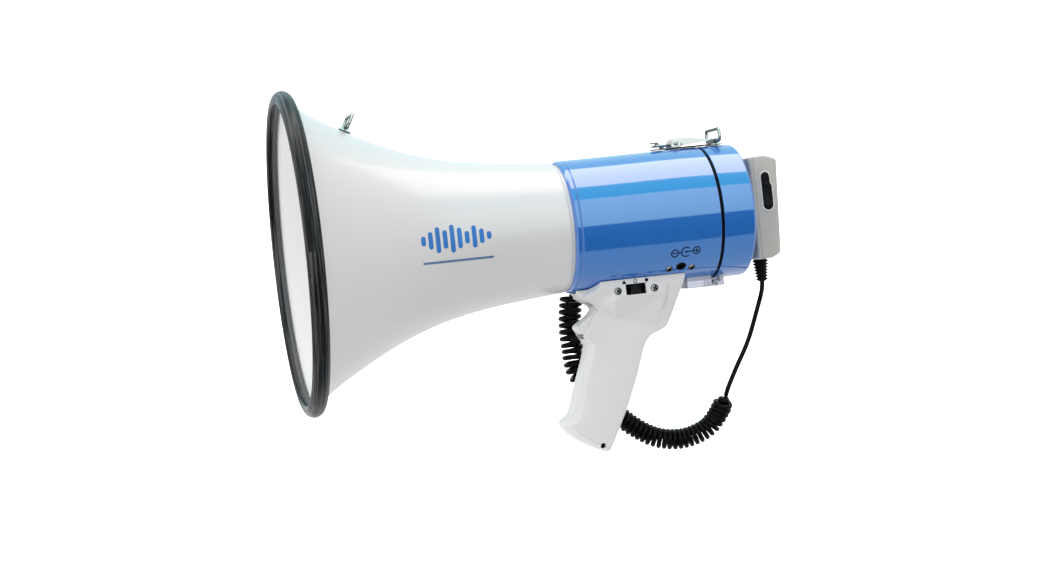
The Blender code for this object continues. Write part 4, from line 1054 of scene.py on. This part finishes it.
# ---------------------------------------------------------------- microphone
MIC_FRONT_X, MIC_SPLIT_X, MIC_REAR_X = 335.8, 338.9, 357.3
MIC_BOTTOM, MIC_TOP = -38.0, 37.0
MIC_HALF_WIDTH = 27.0
MIC_GAP = 0.12                          # each half's share of the split
MIC_WALL = 2.0
CORD_X = 346                            # where the cord leaves the microphone


def mic_shape(grow=0.0, rounding=1.8):
    """A soft-edged block that narrows towards the rear, where its top and bottom slope in."""
    x0, x1 = MIC_FRONT_X - grow, MIC_REAR_X + grow
    z0, z1 = MIC_BOTTOM - grow, MIC_TOP + grow
    width = MIC_HALF_WIDTH + grow
    side = [(x0, z0), (x1 - 10.6, z0 + 0.2), (x1 - 3.6, z0 + 3.4), (x1, z1 - 3.2),
            (x1 - 9.0, z1), (x0, z1 - 0.6)]
    shape = slab_shape(side, -width, width)
    for vert in shape.verts:
        vert.co.y *= 1 - 0.03 * (vert.co.x / MM - x0) / (x1 - x0)
    bmesh.ops.dissolve_limit(shape, angle_limit=0.02, verts=shape.verts[:],
                             edges=shape.edges[:])
    bmesh.ops.bevel(shape, geom=shape.edges[:], offset=rounding * MM, segments=5, profile=0.5,
                    affect="EDGES", clamp_overlap=True)
    return shape


def mic_half(name, x):
    return carve(add(name, mic_shape(), "mic"), [box_shape(x, (-60, 60), (-80, 80))],
                 "INTERSECT")


def stadium(x0, x1, z0, z1):
    radius = (x1 - x0) / 2
    middle = (x0 + x1) / 2
    ends = ((z1 - radius, 0, math.pi), (z0 + radius, math.pi, 2 * math.pi))
    return [(middle + radius * math.cos(a), z + radius * math.sin(a))
            for z, start, end in ends for a in np.linspace(start, end, 14)]


def button_outlines(grow):
    """The side control: a long bar, and a narrower round part at its top."""
    return (stadium(343.9 - grow, 350.7 + grow, -2.4 - grow, 17.4 + grow),
            stadium(343.9 - grow, 349.5 + grow, 13.0, 24.4 + grow))


def button_shapes(grow, y0, y1, rounding=0.0):
    return [slab_shape(outline, y0, y1, rounding) for outline in button_outlines(grow)]


def build_mic_case():
    front = mic_half("mic_case_front", (MIC_SPLIT_X + MIC_GAP, 380))
    join(front, button_shapes(1.15, -26.95, -24, rounding=0.3))
    cuts = [mic_shape(-MIC_WALL, 1.4)] + button_shapes(0.35, -32, -20)
    for z in (4, 7.6, 11.2, 14.8, 18.4, 22):        # grille slots, the end ones shorter
        width = 13 if 5 < z < 20 else 10.5
        slot = [(352, z - 0.75), (370, z - 0.75), (370, z + 0.75), (352, z + 0.75)]
        cuts.append(slab_shape(slot, -width, width))
    attach(carve(front, cuts), "microphone", "mic_front_shell")
    back = mic_half("mic_case_back", (320, MIC_SPLIT_X - MIC_GAP))
    carve(back, [mic_shape(-MIC_WALL, 1.4)])
    join(back, [lathe_shape(fillet([
        (337.5, 0), (337.5, 2.35, 0.2), (334.25, 2.35, 0.3), (334.15, 4.35, 0.4),
        (332.95, 4.3, 0.4), (332.95, 0)]), 40)])
    attach(back, "microphone", "mic_back_shell")


def build_mic_details():
    # a pale ring round the control: a painted highlight for the light caught round its recess
    lower, upper = button_outlines(1.25)
    border = slab("mic_control_highlight_ring", lower, -27.12, -26.3, "mic_highlight", rounding=0.2)
    join(border, [slab_shape(upper, -27.12, -26.3, 0.2)])
    carve(border, button_shapes(0.45, -32, -20))
    attach(border, "microphone", "mic_front_shell")
    # a rounded bar with a round, dimpled thumb pad at its top
    lower, upper = button_outlines(0.0)
    button = slab("talk_button_bar", lower, -27.6, -22.2, "black", rounding=0.7, steps=4)
    join(button, [slab_shape(upper, -27.9, -22.1, 0.9, steps=4)])
    carve(button, [pin_shape(346.7, 20.9, (-29, -27.6), 1.3, 28)])
    attach(button, "talk_button", "mic_talk_button")
    box("mic_grille_cloth", (350.2, 350.7), (-14, 14), (2.4, 23.6), "shadow", "microphone",
        rounding=0.1)
    hanger = box("mic_hook_plate", (331.3, 335.45), (-7.9, 7.9), (-8.9, 6.9), "black")
    carve(hanger, [box_shape((331.8, 334.5), (-4.75, 4.75), (-4.7, 12)),
                   box_shape((334.0, 337.0), (-2.75, 2.75), (-2.7, 12))])
    attach(hanger, "rear_cover", "mic_hanger")


def build_strain_relief():
    """Ribs that shrink towards the cord."""
    ribs, pitch, first = 7, 2.2, -39.0
    profile = [(-38.2, 0), (-38.2, 4.6)]
    for i in range(ribs):
        z, radius = first - i * pitch, 5.75 - i * 0.24
        profile += [(z, radius - 0.15), (z - 0.25, radius), (z - 1.15, radius),
                    (z - 1.4, radius - 0.15), (z - 1.5, radius - 1.25), (z - 2.1, radius - 1.25)]
    end = first - ribs * pitch
    profile += [(end, 2.6), (end - 0.2, 2.1), (end - 0.2, 0)]
    lathe("strain_relief", profile, "cord", "microphone", "mic_strain_relief", segments=40,
          matrix=aim((CORD_X, 0, 0), (0, 0, 1)), sharp=50)


# ---------------------------------------------------------------- cord
# middle line of the coil, from below the microphone round under the grip and up its far side
COIL = [
    (309.0, 1, -137.5), (305.7, 5, -144.5), (301.6, 8, -151.4), (295.5, 9, -157.4),
    (286.4, 10, -161.6), (276.2, 11, -163.6), (265.5, 12, -163.0), (254.3, 14, -159.6),
    (244.3, 17, -153.2), (235.2, 21, -145.0), (226.5, 26, -134.0), (218.0, 29, -122.0),
    (210.5, 27.5, -113.0), (206.0, 26.5, -107.5), (203.8, 25.0, -98.9), (203.3, 24.2, -90.0),
    (202.7, 24.0, -81.1), (203.0, 24.0, -71.5), (204.0, 24.0, -62.5), (206.2, 23.6, -50.0)]
# straight lead, from the microphone down to the coil
LEAD = [(CORD_X, 0, -54.0), (345.6, 0, -57.5), (344.5, 0, -62.5), (341, 0, -71.7),
        (330.5, 0, -96.5), (318.2, 0, -117.3), (311.4, 0, -129.5), (309.3, 0.6, -134.8)]
COIL_WIRE, LEAD_WIRE, COIL_RADIUS = 1.8, 1.72, 6.0
POINTS_PER_TURN = 20
EASE_IN, EASE_OUT = 5.0, 1.6            # lengths over which the coil opens and closes


def coil_pitch(share):
    """The coil is drawn out over its last part."""
    if share < 0.60:
        return 3.75
    return 3.75 + (share - 0.60) / 0.06 * 0.95 if share < 0.66 else 4.7


def coil_path():
    path = smooth_path(COIL, 30)
    lengths = [0.0]
    for a, b in zip(path, path[1:]):
        lengths.append(lengths[-1] + (b - a).length)
    total = lengths[-1]
    tangents = [(path[min(i + 1, len(path) - 1)] - path[max(i - 1, 0)]).normalized()
                for i in range(len(path))]
    frames = carried_frames(tangents, tangents[0].cross(Vector((0, 1, 0))).normalized())
    out, along, phase, i = [], 0.0, 0.0, 0
    while along < total:
        while i < len(lengths) - 2 and lengths[i + 1] < along:
            i += 1
        share = (along - lengths[i]) / (lengths[i + 1] - lengths[i])
        middle = path[i].lerp(path[i + 1], share)
        normal, binormal = frames[i]
        ease = max(0.02, min(1.0, along / EASE_IN, (total - along) / EASE_OUT)) ** 0.6
        wobble = 1 + 0.006 * math.sin(along * 0.9) + 0.004 * math.sin(along * 0.37 + 1)
        # the last part is wider as well
        wide = min(1.0, max(0.0, (along / total - 0.60) / 0.10))
        radius = (COIL_RADIUS + 0.9 * wide * wide * (3 - 2 * wide)) * ease * wobble
        out.append(middle + normal * (radius * math.cos(phase))
                   + binormal * (radius * math.sin(phase)))
        phase += 2 * math.pi / POINTS_PER_TURN
        along += coil_pitch(along / total) / POINTS_PER_TURN
    out.append(path[-1])
    return out


def build_cord():
    """The coil, and the lead as two lengths that overlap clear of the cover; gives the lead."""
    tube("coiled_cord", coil_path(), COIL_WIRE, "cord", "main", "cord_coil", sides=10)
    lead = smooth_path(LEAD, 8)
    parts = []
    for name, points in (("straight_cord_upper", [p for p in lead if p.z > -70]),
                         ("straight_cord", [p for p in lead if p.z < -64.5])):
        part = tube(name, points, LEAD_WIRE, "cord", sides=16)
        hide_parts("cord_lead")
        parts.append(part)
    return parts


# ---------------------------------------------------------------- marks
LEVELS = [0.34, 0.62, 0.92, 0.66, 1.0, 0.74, 0.45, 0.80, 0.52, 0.28]    # share of full height
LEVEL_X, LEVEL_PITCH, LEVEL_Z, LEVEL_HALF_HEIGHT = 85.5, 5.35, -0.4, 9.6
POLARITY_X, POLARITY_Z = 277.2, -26.6
SIGN_RADIUS, SIGN_ARM = 2.5, 1.125
MINUS_X, MINUS_Z = -8.125, -0.375       # from the polarity mark's middle
PLUS_X, PLUS_Z = 8.0, 0.375
# polarity mark: name, (x, z) points from its middle, wire radius, closed
POLARITY = [
    ("minus_ring", circle(MINUS_X, MINUS_Z, SIGN_RADIUS), 0.40, True),
    ("minus_bar", [(MINUS_X - SIGN_ARM, MINUS_Z), (MINUS_X + SIGN_ARM, MINUS_Z)], 0.40, False),
    ("arc", circle(0.125, 0, 3.25, 50, 310), 0.40, False),
    ("dot", [(-0.375, 0), (0.875, 0)], 0.6, False),
    ("line_left", [(-5.5, -0.25), (-3.125, 0)], 0.40, False),
    ("line_right", [(1.0, 0), (5.375, 0.375)], 0.40, False),
    ("plus_ring", circle(PLUS_X, PLUS_Z, SIGN_RADIUS), 0.40, True),
    ("plus_bar", [(PLUS_X - SIGN_ARM, PLUS_Z), (PLUS_X + SIGN_ARM, PLUS_Z)], 0.40, False),
    ("plus_post", [(PLUS_X, PLUS_Z - SIGN_ARM), (PLUS_X, PLUS_Z + SIGN_ARM)], 0.40, False)]


def near_side(x, z, radius):
    """The point at x, z on the near side of a round of that radius."""
    return Vector((x, -math.sqrt(max(0.0, radius * radius - z * z)), z))


def horn_bar(name, middle, start, end, width, look_key, steps=28, horizontal=False):
    """A bar with round ends, laid on the horn as a thin closed skin."""
    shape = bmesh.new()
    horn_x, horn_radius = zip(*HORN_CURVE)

    def on_horn(x, z, lift):
        radius = float(np.interp(x, horn_x, horn_radius)) + lift
        return shape.verts.new(near_side(x, z, radius) * MM)

    grid = []
    for j in range(steps + 1):
        along = start + (end - start) * (0.5 - 0.5 * math.cos(math.pi * j / steps))
        inset = min(along - start, end - along)
        half = width / 2
        if inset < half:
            half = math.sqrt(max(0.0, half ** 2 - (half - inset) ** 2))
        half = max(half, 0.05)
        row = []
        for share in (-1, -0.5, 0, 0.5, 1):
            x, z = middle + share * half, along
            if horizontal:
                x, z = z, x
            row.append((on_horn(x, z, 0.14), on_horn(x, z, -0.05)))     # skin, underside
        grid.append(row)
    face = shape.faces.new
    for near, far in zip(grid, grid[1:]):
        for i in range(4):
            a, b, c, d = near[i], near[i + 1], far[i + 1], far[i]
            face((a[0], b[0], c[0], d[0]))
            face((d[1], c[1], b[1], a[1]))
        a, d = near[0], far[0]
        face((a[1], a[0], d[0], d[1]))
        a, d = near[4], far[4]
        face((d[1], d[0], a[0], a[1]))
    for i in range(4):
        a, b = grid[0][i], grid[0][i + 1]
        face((a[0], a[1], b[1], b[0]))
        a, b = grid[-1][i], grid[-1][i + 1]
        face((b[0], b[1], a[1], a[0]))
    add(name, shape, look_key, "main", sharp=50)


def build_marks():
    # a row of sound-level bars, and a thin rule under it
    for i, level in enumerate(LEVELS):
        half = LEVEL_HALF_HEIGHT * level
        horn_bar("level_bar_%02d" % (i + 1), LEVEL_X + i * LEVEL_PITCH, LEVEL_Z - half,
                 LEVEL_Z + half, 3.3, "mark_blue")
    horn_bar("level_rule", -15.6, 84.0, 136.0, 1.5, "mark_grey", steps=40, horizontal=True)
    for name, points, radius, cyclic in POLARITY:
        path = [near_side(POLARITY_X + x, POLARITY_Z + z, DRUM_RADIUS) for x, z in points]
        tube("polarity_" + name, path, radius, "navy", "main", sides=8, cyclic=cyclic)
    # three marks over the mode switch: a triangle, a ring and a disc
    mark_z = -43.6
    slab("switch_mark_warn", [(232.0, -44.9), (235.4, -44.9), (233.7, -42.2)], -25.54, -25.1,
         "navy", "main")
    tube("switch_mark_off", [(x, -25.4, z) for x, z in circle(SWITCH_X, mark_z, 1.2, steps=24)],
         0.24, "navy", "main", sides=8, cyclic=True)
    lathe("switch_mark_on", fillet([(0.12, 0), (0.12, 1.3, 0.05), (-0.3, 1.3), (-0.3, 0)]),
          "navy", "main", segments=28, matrix=aim((250.4, -25.42, mark_z), (0, -1, 0)))


# ---------------------------------------------------------------- parts kept from the frame
KEPT = {"clamp_ring": "black", "diaphragm": "film", "top_plate": "zinc",
        "magnet_ring": "ferrite", "yoke": "zinc", "circuit_board": "board",
        "heat_sink": "alu", "capacitor": "black", "trigger_pin": "zinc",
        "trigger_spring": "zinc", "trigger_microswitch": "black", "mic_capsule": "black"}


def dress_kept_parts():
    for node, look_key in KEPT.items():
        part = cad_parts[node]
        if not part.material_slots:
            part.data.materials.append(LOOKS[look_key])
        for slot in part.material_slots:
            slot.material = LOOKS[look_key]
        bevel = part.modifiers.new("bevel", "BEVEL")
        bevel.width = 0.0002
        bevel.segments = 2
        bevel.limit_method = "ANGLE"
        bevel.angle_limit = math.radians(40)


# ---------------------------------------------------------------- stage, light and camera
FLOOR_Z, SWEEP_Y, SWEEP_RADIUS = -0.19, 1.2, 0.9        # metres
# Colours by the angle about the horn's axis, in degrees: 0 is the near side, 90 overhead.
REFLECTED = [           # softboxes seen in glossy surfaces
    (-180, grey(0.9)), (-116, grey(0.9)), (-113, (0.55, 0.72, 0.80)),
    (-47, (0.50, 0.74, 0.90)), (-46, (0.03, 0.03, 0.05)), (-4, (0.05, 0.06, 0.08)),
    (-2.5, (1.30, 1.95, 2.10)), (43, (1.55, 2.3, 2.35)), (44.5, (0.18, 1.5, 1.75)),
    (67, (0.28, 1.6, 1.8)), (68.5, (4.3, 4.25, 4.1)), (113, (4.1, 4.05, 3.8)),
    (115, (0.62, 1.22, 1.24)), (179.9, (0.8, 1.0, 1.1))]
DIFFUSE = [(degrees, grey(level)) for degrees, level in (   # even light on matt surfaces
    (-180, 0.52), (-90, 1.08), (-50, 0.46), (-20, 0.22), (10, 0.68), (40, 1.42), (70, 1.24),
    (100, 0.98), (140, 0.80), (179.9, 0.52))]
WORLD_STRENGTH, TENT_STRENGTH = 8.0, 4.0


def build_floor():
    """A level floor that sweeps up behind the product; clear from below."""
    profile = [(-2.2, FLOOR_Z), (SWEEP_Y, FLOOR_Z)]
    profile += [(SWEEP_Y + SWEEP_RADIUS * math.sin(a),
                 FLOOR_Z + SWEEP_RADIUS - SWEEP_RADIUS * math.cos(a))
                for a in np.linspace(0.12, math.pi / 2, 14)]
    profile.append((SWEEP_Y + SWEEP_RADIUS, 3.2))
    shape = bmesh.new()
    rows = [(shape.verts.new((-3.5, y, z)), shape.verts.new((3.9, y, z))) for y, z in profile]
    for a, b in zip(rows, rows[1:]):
        shape.faces.new((a[0], a[1], b[1], b[0]))
    floor = link_mesh("studio_floor", shape)
    floor.data.shade_smooth()
    material = bpy.data.materials.new("studio_floor")
    graph = Graph(material, clear=False)
    nodes = graph.tree.nodes
    paint = nodes["Principled BSDF"]
    paint.inputs["Base Color"].default_value = rgba(grey(0.9))
    paint.inputs["Roughness"].default_value = 0.9
    paint.inputs["Emission Color"].default_value = rgba(grey(1.0))
    paint.inputs["Emission Strength"].default_value = 1.0
    two_sided = graph.node("MixShader", {
        "Fac": graph.node("NewGeometry").outputs["Backfacing"],
        1: paint.outputs["BSDF"],
        2: graph.node("BsdfTransparent").outputs["BSDF"]})
    graph.tree.links.new(two_sided.outputs["Shader"], nodes["Material Output"].inputs["Surface"])
    floor.data.materials.append(material)
    floor.visible_glossy = False
    floor.visible_diffuse = False
    floor.visible_shadow = False


def angle_colour(graph, axes, stops, strength):
    """Colour by the angle about the horn's axis, for a light of the given strength."""
    toward = graph.math("MULTIPLY", axes["Y"], -1.0)
    angle = graph.math("ARCTAN2", axes["Z"], toward)
    share = graph.math("MULTIPLY_ADD", angle, 1 / (2 * math.pi), 0.5)
    ramp = graph.node("ValToRGB", {"Fac": share})
    elements = ramp.color_ramp.elements
    elements.remove(elements[-1])
    elements[0].color = rgba(stops[0][1], 1 / strength)
    for degrees, color in stops[1:]:
        elements.new((degrees + 180) / 360).color = rgba(color, 1 / strength)
    return ramp.outputs["Color"]


def build_world():
    """Softbox bands for reflections, which end before the two ends of the axis."""
    world = bpy.data.worlds.new("studio")
    bpy.context.scene.world = world
    graph = Graph(world)
    axes = graph.split(graph.node("TexCoord").outputs["Generated"])
    bands = angle_colour(graph, axes, REFLECTED, WORLD_STRENGTH)
    rear = graph.remap(axes["X"], (0.72, 0.64), interpolation_type="SMOOTHSTEP")
    mouth = graph.remap(axes["X"], (-0.60, -0.50), interpolation_type="SMOOTHSTEP")
    seen = graph.mix(graph.math("MULTIPLY", rear, mouth), rgba(grey(0.12)), bands)
    camera_ray = graph.node("LightPath").outputs["Is Camera Ray"]
    background = graph.node("Background", {
        "Color": graph.mix(camera_ray, seen, rgba(grey(0.125))),
        "Strength": WORLD_STRENGTH})
    graph.node("OutputWorld", {"Surface": background.outputs["Background"]})
    world.cycles_visibility.diffuse = False


def build_tent():
    """A glowing ball around everything that only lights matt surfaces."""
    shape = bmesh.new()
    bmesh.ops.create_uvsphere(shape, u_segments=32, v_segments=20, radius=6.0)
    tent = link_mesh("light_tent", shape)
    material = bpy.data.materials.new("light_tent")
    graph = Graph(material)
    position = graph.node("NewGeometry").outputs["Position"]
    # stronger ahead of the mouth
    strength = graph.remap(graph.split(position)["X"], (-3.6, -5.2), (TENT_STRENGTH, 8.5),
                           interpolation_type="SMOOTHSTEP")
    color = angle_colour(graph, graph.split(position), DIFFUSE, TENT_STRENGTH)
    glow = graph.node("Emission", {"Color": color, "Strength": strength})
    graph.node("OutputMaterial", {"Surface": glow.outputs["Emission"]})
    tent.data.materials.append(material)
    tent.visible_camera = False
    tent.visible_glossy = False
    tent.visible_transmission = False
    tent.visible_shadow = False


def build_camera():
    lens = bpy.data.cameras.new("camera")
    camera = bpy.data.objects.new("camera", lens)
    bpy.context.scene.collection.objects.link(camera)
    lens.sensor_width = 36
    lens.lens = 68.83
    lens.clip_start = 0.01
    forward = Vector((0.218, 0.976, -0.0175)).normalized()
    roll = math.radians(-6.0)
    level_right = forward.cross(Vector((0, 0, 1))).normalized()
    level_up = level_right.cross(forward)
    right = level_right * math.cos(roll) + level_up * math.sin(roll)
    upward = -level_right * math.sin(roll) + level_up * math.cos(roll)
    pose = Matrix.Identity(4)
    for i in range(3):
        pose[i][0], pose[i][1], pose[i][2] = right[i], upward[i], -forward[i]
    pose.translation = Vector((-0.1477, -1.4032, -0.0120))
    camera.matrix_world = pose
    bpy.context.scene.camera = camera


# ---------------------------------------------------------------- build
build_bell()
build_rim()
build_inner_horn()
build_drum()
build_cover()
build_cells()
build_inlet()
build_latch()
build_strap_loop("front", foot=(48.0, 82.4), normal=(0.461, 0.887), eye_height=3.6,
                 loop_height=12.4, body="main")
build_strap_loop("rear", foot=(319.5, 48.25), normal=(0.0, 1.0), eye_height=3.2,
                 loop_height=11.6, body="rear_cover")
build_hinge()
build_grip()
build_switch()
build_mic_case()
build_mic_details()
build_strain_relief()
lead_upper, lead_lower = build_cord()
build_marks()
dress_kept_parts()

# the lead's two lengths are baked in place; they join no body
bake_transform(lead_lower)
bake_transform(lead_upper)

try:        # a colour configuration may lack the Standard view
    bpy.context.scene.view_settings.view_transform = "Standard"
except TypeError:
    pass
build_floor()
build_world()
build_tent()
build_camera()
